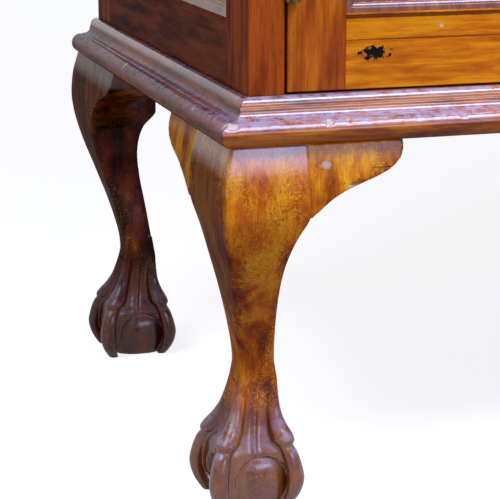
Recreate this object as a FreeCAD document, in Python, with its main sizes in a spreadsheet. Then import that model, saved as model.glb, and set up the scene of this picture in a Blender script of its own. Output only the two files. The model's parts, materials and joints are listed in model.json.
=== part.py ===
import FreeCAD, Part
import math
import os
import re
import Sketcher
from FreeCAD import Placement, Rotation, Vector

# Glazed display cabinet on four carved legs, in millimetres. X runs to the right, Y to the back and
# Z up, with the origin on the floor under the middle of the whole cabinet.

# Driving sizes

SIZES = {
    # carcase
    "carcase_width": 1010,
    "carcase_depth": 471,
    "cabinet_height": 1590,
    "leg_height": 270,
    "base_height": 30,
    "base_rail_width": 62,
    "base_tenon_length": 22,
    "base_tenon_height": 10,
    "side_thickness": 24.5,
    "side_stile_width": 52,
    "side_bottom_rail": 45,
    "side_top_rail": 60,
    "tenon_length": 26,
    "tenon_thickness": 8,
    "tenon_shoulder": 8,
    "bottom_thickness": 16,
    "top_thickness": 18,
    "frieze_height": 52,
    "frieze_tenon_length": 12,
    "back_thickness": 12,
    "back_board_count": 6,
    "back_joint_gap": 0.5,
    "shelf_thickness": 16,
    "shelf_front_gap": 14,
    "shelf_end_gap": 1,
    "bearer_width": 12,
    "bearer_height": 18,
    # doors
    "door_thickness": 22,
    "door_stile_width": 40,
    "door_bottom_rail": 50,
    "door_top_rail": 45,
    "door_side_gap": 2.2,
    "door_end_gap": 1.5,
    "meeting_gap": 2.5,
    "rail_setback": 1,
    # glazing
    "glass_thickness": 4,
    "glass_gap": 1,
    "bead_width": 7,
    "bead_depth": 9,
    "bead_quirk": 1,
    "bead_round": 4.5,
    "stop_width": 7,
    "bar_width": 9,
    "bar_depth": 8.4,
    "bar_round": 5.2,
    "lower_bar_share": 0.27,
    "lower_corner_share": 0.40,
    "corner_inset_share": 0.12,
    # mouldings
    "moulding_fillet_out": 7.5,
    "moulding_fillet_radius": 5.5,
    "moulding_step": 0.7,
    "moulding_cove_drop": 13.4,
    "moulding_cove_radius": 10,
    "moulding_projection": 25.2,
    "cornice_projection": 38,
    "cornice_height": 52,
    "cornice_lower_fillet": 4,
    "cornice_cove_radius": 20,
    "cornice_middle_fillet": 4,
    "cornice_round_radius": 10,
    # legs
    "block_side": 36.5,
    "block_front": 68,
    "ankle_height": 90,
    "foot_side": 14,
    "foot_front": 52.2,
    "ball_radius": 27,
    "ball_height": 46,
    "leg_tenon_size": 20,
    "leg_tenon_depth": 20,
    "leg_tenon_side": 18,
    "leg_tenon_front": 28,
    "ear_overlap": 3,
    "ear_spare": 10,
    "ear_front_length": 66,
    "ear_side_length": 71,
    "ear_depth": 45,
    "ear_tip_setback": 12,
    "ear_tip_drop": 19,
    "ear_tip_radius": 20,
    "ear_waist_length": 18,
    "ear_waist_drop": 34,
    "ear_throat_radius": 30,
    # hinges
    "hinge_length": 64,
    "hinge_end_distance": 58.8,
    "hinge_axis_inset": 5.85,
    "hinge_axis_proud": 3.8,
    "barrel_radius": 3.35,
    "knuckle_gap": 0.3,
    "pin_radius": 1.5,
    "pin_clearance": 0.08,
    "leaf_thickness": 0.9,
    "leaf_width": 16,
    "leaf_web": 3,
    # lock
    "lock_height": 912.5,
    "case_width": 28,
    "case_height": 48,
    "case_depth": 12,
    "case_setback": 5,
    "case_wall": 1.5,
    "bolt_length": 24,
    "bolt_height": 10,
    "bolt_thickness": 3.4,
    "bolt_clearance": 0.4,
    "bolt_travel": 8,
    "key_distance": 17,
    "key_radius": 2,
    "key_clearance": 0.4,
    "key_proud": 27,
    "bow_radius": 8.5,
    "bow_hole_radius": 5,
    "bow_thickness": 3,
    "bit_length": 5.6,
    "bit_width": 3.4,
    "bit_thickness": 2.4,
    "chamber_clearance": 0.6,
    "bolt_rest_gap": 0.5,
    "escutcheon_width": 13,
    "escutcheon_height": 24,
    "escutcheon_thickness": 1.2,
    # bolts of the first-closed door
    "flush_bolt_length": 110,
    "flush_bolt_width": 9,
    "flush_bolt_thickness": 4,
    "flush_bolt_clearance": 0.4,
    "flush_bolt_travel": 10,
    "flush_bolt_rest_gap": 0.5,
    "flush_plate_length": 130,
    "flush_plate_width": 15,
    "flush_plate_thickness": 1.2,
    "thumb_distance": 80,
    "thumb_length": 8,
    "thumb_width": 4,
    "thumb_proud": 0.8,
}

# Templates of the leg: height as a share of the way from the ankle to the top, the outer and inner
# edge seen from the front, the outer and inner edge seen from the side, and the bevel of the corners
LEG_STATIONS = {
    "top": (1.0, -16.5, "block_side", -15, "block_front", 1),
    "shoulder": (0.89, -21.3, "block_side", -20.5, "block_front", 1),
    "knee": (0.79, -22.7, "block_side", -23.6, "block_front", 1),
    "ear_foot": (0.733, -22.4, "block_side", -23.3, "block_front", 1),
    "under_knee": (0.644, -20.2, 28.8, -18.5, 50.8, 1.5),
    "calf": (0.533, -15.2, 24.2, -8.8, 47.2, 2),
    "shin": (0.4, -7.9, 24.9, 6.6, 51.0, 3),
    "lower_shin": (0.244, 0.1, 28.6, 24.6, 59.3, 4),
    "above_ankle": (0.1, 5.2, 32.1, 36.6, 65.4, 5),
    "ankle": (0.0, 5.6, 34.4, 40.2, 68.6, 5.5),
}

# Each claw: height above the floor, distance of its middle from the middle of the foot, half its
# thickness and half its width
CLAW_STATIONS = {
    "claw_root": (100, 13, 6, 6),
    "claw_web": (80, 17.5, 7, 7),
    "claw_rise": (70, 24, 8, 8),
    "claw_upper_knuckle": (61, 28.5, 9, 8.5),
    "claw_between": (50, 31.5, 6.5, 6),
    "claw_lower_knuckle": (36, 36.5, 9, 8),
    "claw_under": (23, 37, 6.5, 6),
    "claw_nail": (10, 38.5, 5, 4),
    "claw_tip": (0, 36.5, 3, 2),
}

# Web that joins the ankle to the ball: height and half its width
WEB_STATIONS = {
    "web_top": (98, 13),
    "web_waist": (82, 13.5),
    "web_swell": (68, 18),
    "web_flare": (55, 22.5),
    "web_edge": (42, 24.5),
}

COLUMNS = ("share", "side_out", "side_in", "front_out", "front_in", "bevel")
CLAW_COLUMNS = ("height", "middle", "half_depth", "half_width")
WEB_COLUMNS = ("height", "half")

# Places and sizes worked out from the driving sizes
RELATIONS = {
    "half_width": "carcase_width / 2",
    "front": "(cornice_projection - carcase_depth + knee_front_out) / 2",
    "back": "front + carcase_depth",
    "mid_depth": "front + carcase_depth / 2",
    "base_top": "leg_height + base_height",
    "inner": "half_width - side_thickness",
    "top_under": "cabinet_height - top_thickness",
    "frieze_under": "top_under - frieze_height",
    "back_front": "back - back_thickness",
    "door_bottom": "base_top + door_end_gap",
    "door_top": "frieze_under - door_end_gap",
    "door_hinge_side": "-inner + door_side_gap",
    "door_meeting_side": "-meeting_gap / 2",
    "door_back": "front + door_thickness",
    "pane_left": "door_hinge_side + door_stile_width",
    "pane_right": "door_meeting_side - door_stile_width",
    "pane_bottom": "door_bottom + door_bottom_rail",
    "pane_top": "door_top - door_top_rail",
    "pane_width": "pane_right - pane_left",
    "pane_height": "pane_top - pane_bottom",
    "side_pane_front": "front + side_stile_width",
    "side_pane_back": "back - side_stile_width",
    "side_pane_bottom": "base_top + side_bottom_rail",
    "side_pane_top": "top_under - side_top_rail",
    "side_pane_width": "side_pane_back - side_pane_front",
    "side_pane_height": "side_pane_top - side_pane_bottom",
    "hinge_x": "-inner + hinge_axis_inset",
    "hinge_y": "front - hinge_axis_proud",
    "lower_bar": "pane_bottom + pane_height * lower_bar_share",
    "upper_bar": "pane_top - pane_height * lower_bar_share",
    "key_x": "meeting_gap / 2 + key_distance",
    "case_front": "front + case_setback",
    "bolt_front": "case_front + case_depth - case_wall - bolt_clearance - bolt_thickness",
}

document = FreeCAD.newDocument("display_cabinet")
sheet = document.addObject("Spreadsheet::Sheet", "size")
nodes = []


def add_table(sizes, table, columns):
    """Adds one named size for each number of a station table; a name there stands for another size."""
    for station, numbers in table.items():
        for column, number in zip(columns, numbers):
            if isinstance(number, str):
                RELATIONS[f"{station}_{column}"] = number
            else:
                sizes[f"{station}_{column}"] = number


def fill_sheet():
    """Writes every driving size into the spreadsheet, one row each, under its own alias."""
    add_table(SIZES, LEG_STATIONS, COLUMNS)
    add_table(SIZES, CLAW_STATIONS, CLAW_COLUMNS)
    add_table(SIZES, WEB_STATIONS, WEB_COLUMNS)
    for row, (alias, number) in enumerate(SIZES.items(), start=1):
        sheet.set(f"A{row}", alias)
        sheet.set(f"B{row}", str(number))
        sheet.setAlias(f"B{row}", alias)
    document.recompute()


def formula(text):
    """Turns names of sizes and relations into an expression on the spreadsheet."""

    def expand(match):
        word = match.group(0)
        if word in SIZES:
            return f"size.{word}"
        if word in RELATIONS:
            return f"({formula(RELATIONS[word])})"
        return word

    return re.sub(r"[a-z][a-z0-9_]*", expand, str(text))


def value(text):
    """Number that a formula gives with the sizes in the spreadsheet."""
    return float(sheet.evalExpression(formula(text)))


def bind(item, **properties):
    """Binds properties to formulas; a double underscore stands for a dot."""
    for name, text in properties.items():
        item.setExpression(name.replace("__", "."), formula(text))


def place(item, x="0", y="0", z="0"):
    """Binds the place of an object."""
    bind(item, Placement__Base__x=x, Placement__Base__y=y, Placement__Base__z=z)
    return item


def node(item, label):
    """Names an object as one of the pieces that are written out."""
    item.Label = label
    nodes.append(item)
    return item


# Plain pieces


def box(name, x, y, z):
    """Board between two limits along each axis."""
    item = document.addObject("Part::Box", name)
    bind(
        item,
        Length=f"({x[1]}) - ({x[0]})",
        Width=f"({y[1]}) - ({y[0]})",
        Height=f"({z[1]}) - ({z[0]})",
    )
    return place(item, x[0], y[0], z[0])


def cylinder(name, radius, height, x, y, z, axis=Vector(0, 0, 1)):
    """Rod that starts at a point and runs along an axis."""
    item = document.addObject("Part::Cylinder", name)
    item.Placement = Placement(Vector(), Rotation(Vector(0, 0, 1), axis))
    bind(item, Radius=radius, Height=height)
    return place(item, x, y, z)


def fuse(name, parts):
    """One solid from several."""
    item = document.addObject("Part::MultiFuse", name)
    item.Shapes = parts
    item.Refine = True
    return item


def cut(name, base, tools):
    """A solid less others."""
    tool = tools[0] if len(tools) == 1 else fuse(f"{name}_tools", tools)
    item = document.addObject("Part::Cut", name)
    item.Base = base
    item.Tool = tool
    return item


def group(name, parts):
    """Separate solids kept together."""
    item = document.addObject("Part::Compound", name)
    item.Links = parts
    return item


def mirror(name, source, normal=Vector(1, 0, 0), y="0"):
    """The same piece on the other side of the cabinet, or of its middle depth."""
    item = document.addObject("Part::Mirroring", name)
    item.Source = source
    item.Normal = normal
    bind(item, Base__y=y)
    return item


def inset(limits, by):
    """Limits drawn in by the same amount at both ends."""
    return (f"{limits[0]} + {by}", f"{limits[1]} - {by}")


def outset(limits, by):
    """Limits moved out by the same amount at both ends."""
    return (f"{limits[0]} - {by}", f"{limits[1]} + {by}")


# Sketched bodies


def origin_plane(body, role):
    """One of a body's own base planes."""
    return next(plane for plane in body.Origin.OriginFeatures if plane.Role == role)


def sketch_on(body, name, role, offset="0"):
    """Empty sketch on a base plane, moved along the plane's normal."""
    sketch = body.newObject("Sketcher::SketchObject", name)
    sketch.AttachmentSupport = [(origin_plane(body, role), "")]
    sketch.MapMode = "FlatFace"
    bind(sketch, AttachmentOffset__Base__z=offset)
    return sketch


def arc_between(start, end, radius):
    """Arc from start to end, anticlockwise for a positive radius and clockwise for a negative one."""
    if radius < 0:
        start, end = end, start
    half = (end - start) * 0.5
    rise = math.sqrt(max(radius**2 - half.Length**2, 0))
    centre = start + half + Vector(-half.y, half.x, 0).normalize() * rise
    first = math.atan2(start.y - centre.y, start.x - centre.x)
    last = math.atan2(end.y - centre.y, end.x - centre.x)
    circle = Part.Circle(centre, Vector(0, 0, 1), abs(radius))
    return Part.ArcOfCircle(circle, first, last)


def outline(sketch, corners):
    """Closed outline through corners (x, y) or (x, y, radius), a radius bending the edge that follows."""
    points = [Vector(value(corner[0]), value(corner[1]), 0) for corner in corners]
    ends = []
    for index, corner in enumerate(corners):
        start, end = points[index], points[(index + 1) % len(points)]
        if len(corner) == 2:
            edge = sketch.addGeometry(Part.LineSegment(start, end))
            ends.append((edge, 1, 2))
            continue
        radius = value(corner[2])
        edge = sketch.addGeometry(arc_between(start, end, radius))
        ends.append((edge, 1, 2) if radius > 0 else (edge, 2, 1))
        size = sketch.addConstraint(Sketcher.Constraint("Radius", edge, abs(radius)))
        sketch.setExpression(f"Constraints[{size}]", f"abs({formula(corner[2])})")
    for index, corner in enumerate(corners):
        edge, first, _ = ends[index]
        before, _, last = ends[index - 1]
        sketch.addConstraint(Sketcher.Constraint("Coincident", before, last, edge, first))
        for kind, text, number in (
            ("DistanceX", corner[0], points[index].x),
            ("DistanceY", corner[1], points[index].y),
        ):
            size = sketch.addConstraint(Sketcher.Constraint(kind, -1, 1, edge, first, number))
            sketch.setExpression(f"Constraints[{size}]", formula(text))


def pad(body, name, sketch, length):
    """Solid drawn up from a sketch."""
    item = body.newObject("PartDesign::Pad", name)
    item.Profile = sketch
    bind(item, Length=length)
    return item


def pocket(body, name, sketch, length):
    """Cut along the normal of a sketch, which must take something away."""
    before = body.Shape.Volume
    item = body.newObject("PartDesign::Pocket", name)
    item.Profile = sketch
    item.Reversed = True
    bind(item, Length=length)
    document.recompute()
    if body.Shape.Volume >= before:
        raise ValueError(f"{name} takes nothing away")
    return item


def mitred_bar(name, profile, reach, height, length, ends):
    """Moulding along X with its profile in Y and Z, each end mitred outwards or inwards, or square."""
    extra = {"outer": reach, "inner": "0", "square": "0"}
    body = document.addObject("PartDesign::Body", name)
    section = sketch_on(body, f"{name}_profile", "YZ_Plane", f"-({extra[ends[0]]})")
    outline(section, profile)
    pad(body, f"{name}_pad", section, f"{length} + {extra[ends[0]]} + {extra[ends[1]]}")
    document.recompute()
    past = f"({reach} + 1)"
    for end, corner, away in ((ends[0], "0", -1), (ends[1], length, 1)):
        if end == "square":
            continue
        far = f"{corner} + {away} * {past}"
        near = f"{corner} - {away} * {past}"
        waste = [(corner, "0"), (far, "0"), (far, past)]
        if end == "inner":
            waste = [(corner, "0"), (near, past), (far, past), (far, "0")]
        side = "start" if away < 0 else "end"
        mitre = sketch_on(body, f"{name}_{side}_mitre", "XY_Plane", "-1")
        outline(mitre, waste)
        pocket(body, f"{name}_{side}_cut", mitre, f"{height} + 2")
    return body


# Base: a frame of four rails on the legs, with a moulding mitred round the front and sides


def leg_tenon_limits(x, y):
    """Limits of the square tenon of the leg at one corner, left or right and front or back."""
    side = "leg_tenon_side - half_width" if x == "left" else "half_width - leg_tenon_side"
    depth = "front + leg_tenon_front" if y == "front" else "back - leg_tenon_front"
    return middle((side, side), "leg_tenon_size"), middle((depth, depth), "leg_tenon_size")


def base_frame():
    """Rails tenoned into the front and back ones, which have the sockets of the legs."""
    z = ("leg_height", "base_top")
    tenon_z = middle(z, "base_tenon_height")
    ends = {
        "left": ("-half_width", "-half_width + base_rail_width"),
        "right": ("half_width - base_rail_width", "half_width"),
    }
    between = ("front + base_rail_width", "back - base_rail_width")
    reaches = {
        "front": (("front", between[0]), (f"{between[0]} - base_tenon_length", between[0])),
        "back": ((between[1], "back"), (between[1], f"{between[1]} + base_tenon_length")),
    }
    for side, (y, reach) in reaches.items():
        holes = [flush_bolt_socket("bottom")] if side == "front" else []
        for end, x in ends.items():
            name = f"base_{side}_{end}"
            holes.append(box(f"{name}_mortise", inset(x, "tenon_shoulder"), reach, tenon_z))
            socket_z = ("leg_height", "leg_height + leg_tenon_depth")
            holes.append(box(f"{name}_socket", *leg_tenon_limits(end, side), socket_z))
        rail = box(f"base_{side}_blank", ("-half_width", "half_width"), y, z)
        node(cut(f"base_{side}", rail, holes), f"base_rail_{side}")
    for end, x in ends.items():
        body = box(f"base_{end}_body", x, between, z)
        tenon_y = outset(between, "base_tenon_length")
        tenon = box(f"base_{end}_tenons", inset(x, "tenon_shoulder"), tenon_y, tenon_z)
        node(fuse(f"base_{end}", [body, tenon]), f"base_rail_{end}")


BASE_PROFILE = [
    ("0", "0"),
    ("moulding_projection - moulding_nose", "0", "moulding_nose"),
    ("moulding_projection", "moulding_nose", "moulding_nose"),
    ("moulding_projection - moulding_nose", "2 * moulding_nose", "-moulding_cove_radius"),
    (
        "moulding_fillet_out + moulding_step",
        "base_height - moulding_fillet_radius - 2 * moulding_step",
    ),
    ("moulding_fillet_out", "base_height - moulding_fillet_radius - moulding_step"),
    ("moulding_fillet_out", "base_height - moulding_fillet_radius", "moulding_fillet_radius"),
    ("moulding_fillet_out - moulding_fillet_radius", "base_height"),
    ("0", "base_height"),
]
RELATIONS["moulding_nose"] = "(base_height - moulding_cove_drop) / 2"

CORNICE_PROFILE = [
    ("0", "0"),
    ("cornice_lower_fillet", "0"),
    ("cornice_lower_fillet", "cornice_lower_fillet", "-cornice_cove_radius"),
    ("cornice_lower_fillet + cornice_cove_radius", "cornice_shelf"),
    ("cornice_projection - cornice_round_radius", "cornice_shelf"),
    ("cornice_projection - cornice_round_radius", "cornice_round_start", "cornice_round_radius"),
    ("cornice_projection", "cornice_round_start + cornice_round_radius"),
    ("cornice_projection", "cornice_height"),
    ("0", "cornice_height"),
]
RELATIONS["cornice_shelf"] = "cornice_lower_fillet + cornice_cove_radius"
RELATIONS["cornice_round_start"] = "cornice_shelf + cornice_middle_fillet"


def mitred_surround(label, profile, reach, height, bottom):
    """Moulding across the front and along both sides, mitred at the front corners."""
    front = mitred_bar(f"{label}_across", profile, reach, height, "carcase_width", ("outer", "outer"))
    front.Placement = Placement(Vector(), Rotation(Vector(-1, 0, 0), Vector(0, -1, 0), Vector(0, 0, 1)))
    node(place(front, "half_width", "front", bottom), f"{label}_front")
    side = mitred_bar(f"{label}_along", profile, reach, height, "carcase_depth", ("outer", "square"))
    side.Placement = Placement(Vector(), Rotation(Vector(0, 1, 0), Vector(-1, 0, 0), Vector(0, 0, 1)))
    node(place(side, "-half_width", "front", bottom), f"{label}_left")
    node(mirror(f"{label}_right_copy", side), f"{label}_right")


# Carcase: two framed and glazed sides, boards at the top and bottom, a frieze rail and a boarded back


def middle(limits, size):
    """Limits of a given size in the middle of others."""
    centre = f"(({limits[0]}) + ({limits[1]})) / 2"
    return (f"{centre} - {size} / 2", f"{centre} + {size} / 2")


def tenoned_rail(label, across, span, thick, tall):
    """Rail with a tenon at each end, and the mortise for each; across is the axis that it runs along."""
    through = "y" if across == "x" else "x"
    tongue = {through: middle(thick, "tenon_thickness"), "z": inset(tall, "tenon_shoulder")}
    body = box(f"{label}_body", **{across: span, through: thick, "z": tall})
    tenons = box(f"{label}_tenons", **{across: outset(span, "tenon_length")}, **tongue)
    ends = ((f"{span[0]} - tenon_length", span[0]), (span[1], f"{span[1]} + tenon_length"))
    mortises = [box(f"{label}_mortise_{end}", **{across: ends[end]}, **tongue) for end in (0, 1)]
    return fuse(label, [body, tenons]), mortises


def side_frames():
    """Stiles and rails of both sides."""
    thick, tall = ("-half_width", "-inner"), ("base_top", "top_under")
    opening = ("side_pane_front", "side_pane_back")
    rails = {
        "bottom_rail": ("base_top", "side_pane_bottom"),
        "top_rail": ("side_pane_top", "top_under"),
    }
    stiles = {"front_stile": ("front", opening[0]), "back_stile": (opening[1], "back")}
    holes = {"front_stile": [frieze_mortise()], "back_stile": [back_rebate()]}
    left = {}
    for name, z in rails.items():
        left[name], mortises = tenoned_rail(f"side_{name}", "y", opening, thick, z)
        for stile, mortise in zip(stiles, mortises):
            holes[stile].append(mortise)
    for name, y in stiles.items():
        left[name] = cut(f"side_{name}", box(f"side_{name}_blank", thick, y, tall), holes[name])
    for name, piece in left.items():
        node(piece, f"side_left_{name}")
        node(mirror(f"side_{name}_copy", piece), f"side_right_{name}")


def frieze_tenon_limits():
    """Height and depth limits of the tenons of the frieze rail."""
    z = inset(("frieze_under", "top_under"), "tenon_shoulder")
    return z, middle(("front", "door_back"), "tenon_thickness")


def frieze_mortise():
    """Mortise for the frieze rail in the left front stile."""
    z, y = frieze_tenon_limits()
    return box("frieze_mortise", ("-inner - frieze_tenon_length", "-inner"), y, z)


def back_rebate():
    """Rebate that takes the edge of the back boards."""
    x = ("-inner - back_rebate", "-inner")
    return box("back_rebate_waste", x, ("back_front", "back"), ("base_top", "top_under"))


def boards():
    """Bottom, top and back boards, the frieze rail, and shelves level with the cross bars of the doors."""
    inside = ("-inner", "inner")
    floor_y = ("door_back + rail_setback", "back_front")
    node(box("bottom_plank", inside, floor_y, ("base_top", "floor_top")), "bottom_board")
    whole = ("-half_width", "half_width")
    node(box("top_plank", whole, ("front", "back"), ("top_under", "cabinet_height")), "top_board")
    z, y = frieze_tenon_limits()
    rail = box("frieze_body", inside, ("front", "door_back"), ("frieze_under", "top_under"))
    tenons = box("frieze_tenons", outset(inside, "frieze_tenon_length"), y, z)
    frieze = fuse("frieze_blank", [rail, tenons])
    node(cut("frieze", frieze, [flush_bolt_socket("top")]), "frieze_rail")
    count = int(value("back_board_count"))
    pitch = "(2 * (inner + back_rebate) + back_joint_gap) / back_board_count"
    planks = []
    for index in range(count):
        start = f"-inner - back_rebate + {index} * {pitch}"
        x = (start, f"{start} + {pitch} - back_joint_gap")
        planks.append(box(f"back_board_{index + 1}", x, ("back_front", "back"), ("base_top", "top_under")))
    node(group("back_planks", planks), "back_boards")


def shelves():
    """Two shelves on battens that run from front to back across both sides."""
    battens = []
    for name, level in (("lower", "lower_bar"), ("upper", "upper_bar")):
        top = f"{level} + shelf_thickness / 2"
        under = f"{level} - shelf_thickness / 2"
        y = ("door_back + shelf_front_gap", "back_front - shelf_end_gap")
        x = ("-inner + shelf_end_gap", "inner - shelf_end_gap")
        node(box(f"{name}_plank", x, y, (under, top)), f"shelf_{name}")
        z = (f"{under} - bearer_height", under)
        left = box(f"{name}_batten", ("-inner", "-inner + bearer_width"), y, z)
        battens += [left, mirror(f"{name}_batten_right", left)]
    node(group("battens", battens), "shelf_bearers")


RELATIONS["back_rebate"] = "side_thickness / 2"
RELATIONS["floor_top"] = "base_top + bottom_thickness"


# Glazing: a moulded bead outside, a sheet of glass and a plain stop inside, all within the frame


def bead_frame(name, profile, reach, height, width, tall):
    """Four mitred lengths round an opening that starts at the local origin and lies in X and Y."""
    lengths = []
    corners = ((0, "0", "0"), (90, width, "0"), (180, width, tall), (270, "0", tall))
    for index, (turn, x, y) in enumerate(corners):
        run = width if index % 2 == 0 else tall
        bar = mitred_bar(f"{name}_{index + 1}", profile, reach, height, run, ("inner", "inner"))
        bar.Placement = Placement(Vector(), Rotation(Vector(0, 0, 1), turn))
        lengths.append(place(bar, x, y))
    return group(name, lengths)


BEAD_PROFILE = [
    ("0", "0"),
    ("bead_width", "0"),
    ("bead_width", "bead_depth - bead_quirk - bead_round", "bead_round"),
    ("bead_width - bead_round", "bead_depth - bead_quirk"),
    ("0", "bead_depth - bead_quirk"),
]


def stop_profile(depth):
    """Plain section of an inner stop."""
    return [("0", "0"), ("stop_width", "0"), ("stop_width", depth), ("0", depth)]


def glazing(label, turn_out, turn_in, size, outside, inside, stop_depth):
    """Beads and stops of one opening."""
    bead = bead_frame(f"{label}_bead", BEAD_PROFILE, "bead_width", "bead_depth", *size)
    bead.Placement = Placement(Vector(), turn_out)
    place(bead, *outside)
    stop = bead_frame(f"{label}_stop", stop_profile(stop_depth), "stop_width", stop_depth, *size)
    stop.Placement = Placement(Vector(), turn_in)
    place(stop, *inside)
    return group(f"{label}_beads_pair", [bead, stop])


def side_glazing():
    """Beads, stops and glass of both sides."""
    y = inset(("side_pane_front", "side_pane_back"), "glass_gap")
    z = inset(("side_pane_bottom", "side_pane_top"), "glass_gap")
    x = ("-half_width + bead_depth", "-half_width + bead_depth + glass_thickness")
    sheet_of_glass = node(box("side_pane", x, y, z), "side_left_glass")
    node(mirror("side_pane_copy", sheet_of_glass), "side_right_glass")
    left = glazing(
        "side",
        Rotation(Vector(0, -1, 0), Vector(0, 0, 1), Vector(-1, 0, 0)),
        Rotation(Vector(0, 1, 0), Vector(0, 0, 1), Vector(1, 0, 0)),
        ("side_pane_width", "side_pane_height"),
        (x[0], "side_pane_back", "side_pane_bottom"),
        (x[1], "side_pane_front", "side_pane_bottom"),
        "side_thickness - bead_depth - glass_thickness",
    )
    node(group("beads_of_both_sides", [left, mirror("side_beads_copy", left)]), "side_beads")


def door_glazing():
    """Beads, stops and glass of both doors."""
    x = inset(("pane_left", "pane_right"), "glass_gap")
    z = inset(("pane_bottom", "pane_top"), "glass_gap")
    y = ("front + bead_depth", "front + bead_depth + glass_thickness")
    sheet_of_glass = node(box("door_pane", x, y, z), "door_left_glass")
    node(mirror("door_pane_copy", sheet_of_glass), "door_right_glass")
    left = glazing(
        "door",
        Rotation(Vector(1, 0, 0), Vector(0, 0, 1), Vector(0, -1, 0)),
        Rotation(Vector(-1, 0, 0), Vector(0, 0, 1), Vector(0, 1, 0)),
        ("pane_width", "pane_height"),
        ("pane_left", y[0], "pane_bottom"),
        ("pane_right", y[1], "pane_bottom"),
        "door_thickness - bead_depth - glass_thickness",
    )
    node(left, "door_left_beads")
    node(mirror("door_beads_copy", left), "door_right_beads")


# Bars of the glazed doors: a long octagon between cross bars, with short bars out to the frame

RELATIONS.update(
    {
        "bar_half": "bar_width / 2",
        "bar_shoulder": "bar_depth - bar_round + sqrt(bar_round^2 - bar_half^2)",
        "column_1": "pane_width / 4",
        "column_2": "pane_width * 3 / 4",
        "column_in": "pane_width * corner_inset_share",
        "column_out": "pane_width * (1 - corner_inset_share)",
        "row_1": "pane_height * lower_bar_share",
        "row_2": "pane_height * lower_corner_share",
        "row_3": "pane_height * (1 - lower_corner_share)",
        "row_4": "pane_height * (1 - lower_bar_share)",
        "bar_start": "bead_width",
        "bar_end_x": "pane_width - bead_width",
        "bar_end_y": "pane_height - bead_width",
    }
)

BAR_PROFILE = [
    ("-bar_half", "0"),
    ("bar_half", "0"),
    ("bar_half", "bar_shoulder", "bar_round"),
    ("-bar_half", "bar_shoulder"),
]

BARS = {
    "cross_low": ("bar_start", "row_1", "bar_end_x", "row_1"),
    "cross_high": ("bar_start", "row_4", "bar_end_x", "row_4"),
    "foot_left": ("column_1", "bar_start", "column_1", "row_1"),
    "foot_right": ("column_2", "bar_start", "column_2", "row_1"),
    "head_left": ("column_1", "row_4", "column_1", "bar_end_y"),
    "head_right": ("column_2", "row_4", "column_2", "bar_end_y"),
    "low_left": ("column_1", "row_1", "column_in", "row_2"),
    "low_right": ("column_2", "row_1", "column_out", "row_2"),
    "high_left": ("column_1", "row_4", "column_in", "row_3"),
    "high_right": ("column_2", "row_4", "column_out", "row_3"),
    "upright_left": ("column_in", "row_2", "column_in", "row_3"),
    "upright_right": ("column_out", "row_2", "column_out", "row_3"),
    "arm_low_left": ("bar_start", "row_2", "column_in", "row_2"),
    "arm_low_right": ("column_out", "row_2", "bar_end_x", "row_2"),
    "arm_high_left": ("bar_start", "row_3", "column_in", "row_3"),
    "arm_high_right": ("column_out", "row_3", "bar_end_x", "row_3"),
}


def bar(name, ends):
    """One bar with a rounded front between two points of the opening."""
    x_0, y_0, x_1, y_1 = ends
    run = f"sqrt(({x_1} - {x_0})^2 + ({y_1} - {y_0})^2)"
    body = document.addObject("PartDesign::Body", f"bar_{name}")
    section = sketch_on(body, f"bar_{name}_profile", "YZ_Plane")
    outline(section, BAR_PROFILE)
    pad(body, f"bar_{name}_pad", section, run)
    bind(body, Placement__Rotation__Angle=f"atan2({y_1} - {y_0}; {x_1} - {x_0})")
    return place(body, x_0, y_0)


def lattices():
    """The bars of one door joined to one piece, laid on the glass, and the same for the other door."""
    joined = fuse("lattice_bars", [bar(name, ends) for name, ends in BARS.items()])
    turn = Rotation(Vector(1, 0, 0), Vector(0, 0, 1), Vector(0, -1, 0))
    joined.Placement = Placement(Vector(), turn)
    place(joined, "pane_left", "front + bead_depth", "pane_bottom")
    left = node(joined, "door_left_lattice")
    node(mirror("lattice_copy", left), "door_right_lattice")


# Doors: stiles and rails, with the lock in the right door and two bolts in the edge of the left one


def door_frames():
    """Rails and stiles of both doors."""
    thick, tall = ("front", "door_back"), ("door_bottom", "door_top")
    opening = ("pane_left", "pane_right")
    rails = {"bottom_rail": ("door_bottom", "pane_bottom"), "top_rail": ("pane_top", "door_top")}
    stiles = {
        "hinge_stile": ("door_hinge_side", opening[0]),
        "meeting_stile": (opening[1], "door_meeting_side"),
    }
    holes = {name: [] for name in stiles}
    plain = {}
    for name, z in rails.items():
        plain[name], mortises = tenoned_rail(f"door_{name}", "x", opening, thick, z)
        for stile, mortise in zip(stiles, mortises):
            holes[stile].append(mortise)
    for name, x in stiles.items():
        plain[name] = cut(f"door_{name}", box(f"door_{name}_blank", x, thick, tall), holes[name])
    for name, piece in plain.items():
        left, right = piece, mirror(f"door_{name}_copy", piece)
        if name == "meeting_stile":
            left = cut("door_left_meeting", left, left_stile_cuts())
            right = cut("door_right_meeting", right, right_stile_cuts())
        node(left, f"door_left_{name}")
        node(right, f"door_right_{name}")


RELATIONS.update(
    {
        "case_left": "meeting_gap / 2",
        "case_right": "case_left + case_width",
        "slot_front": "bolt_front - bolt_clearance",
        "slot_back": "bolt_front + bolt_thickness + bolt_clearance",
        "bolt_left": "case_left + bolt_rest_gap",
        "chamber_front": "case_front + case_wall",
        "bit_front": "chamber_front + key_clearance",
        "keyhole_radius": "key_radius + key_clearance",
        "bow_centre": "front - key_proud",
    }
)


def slot(name, left, right, spare):
    """Room for the lock's bolt between two places along X."""
    z = middle(("lock_height", "lock_height"), f"(bolt_height + 2 * {spare})")
    return box(name, (left, right), ("slot_front", "slot_back"), z)


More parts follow.
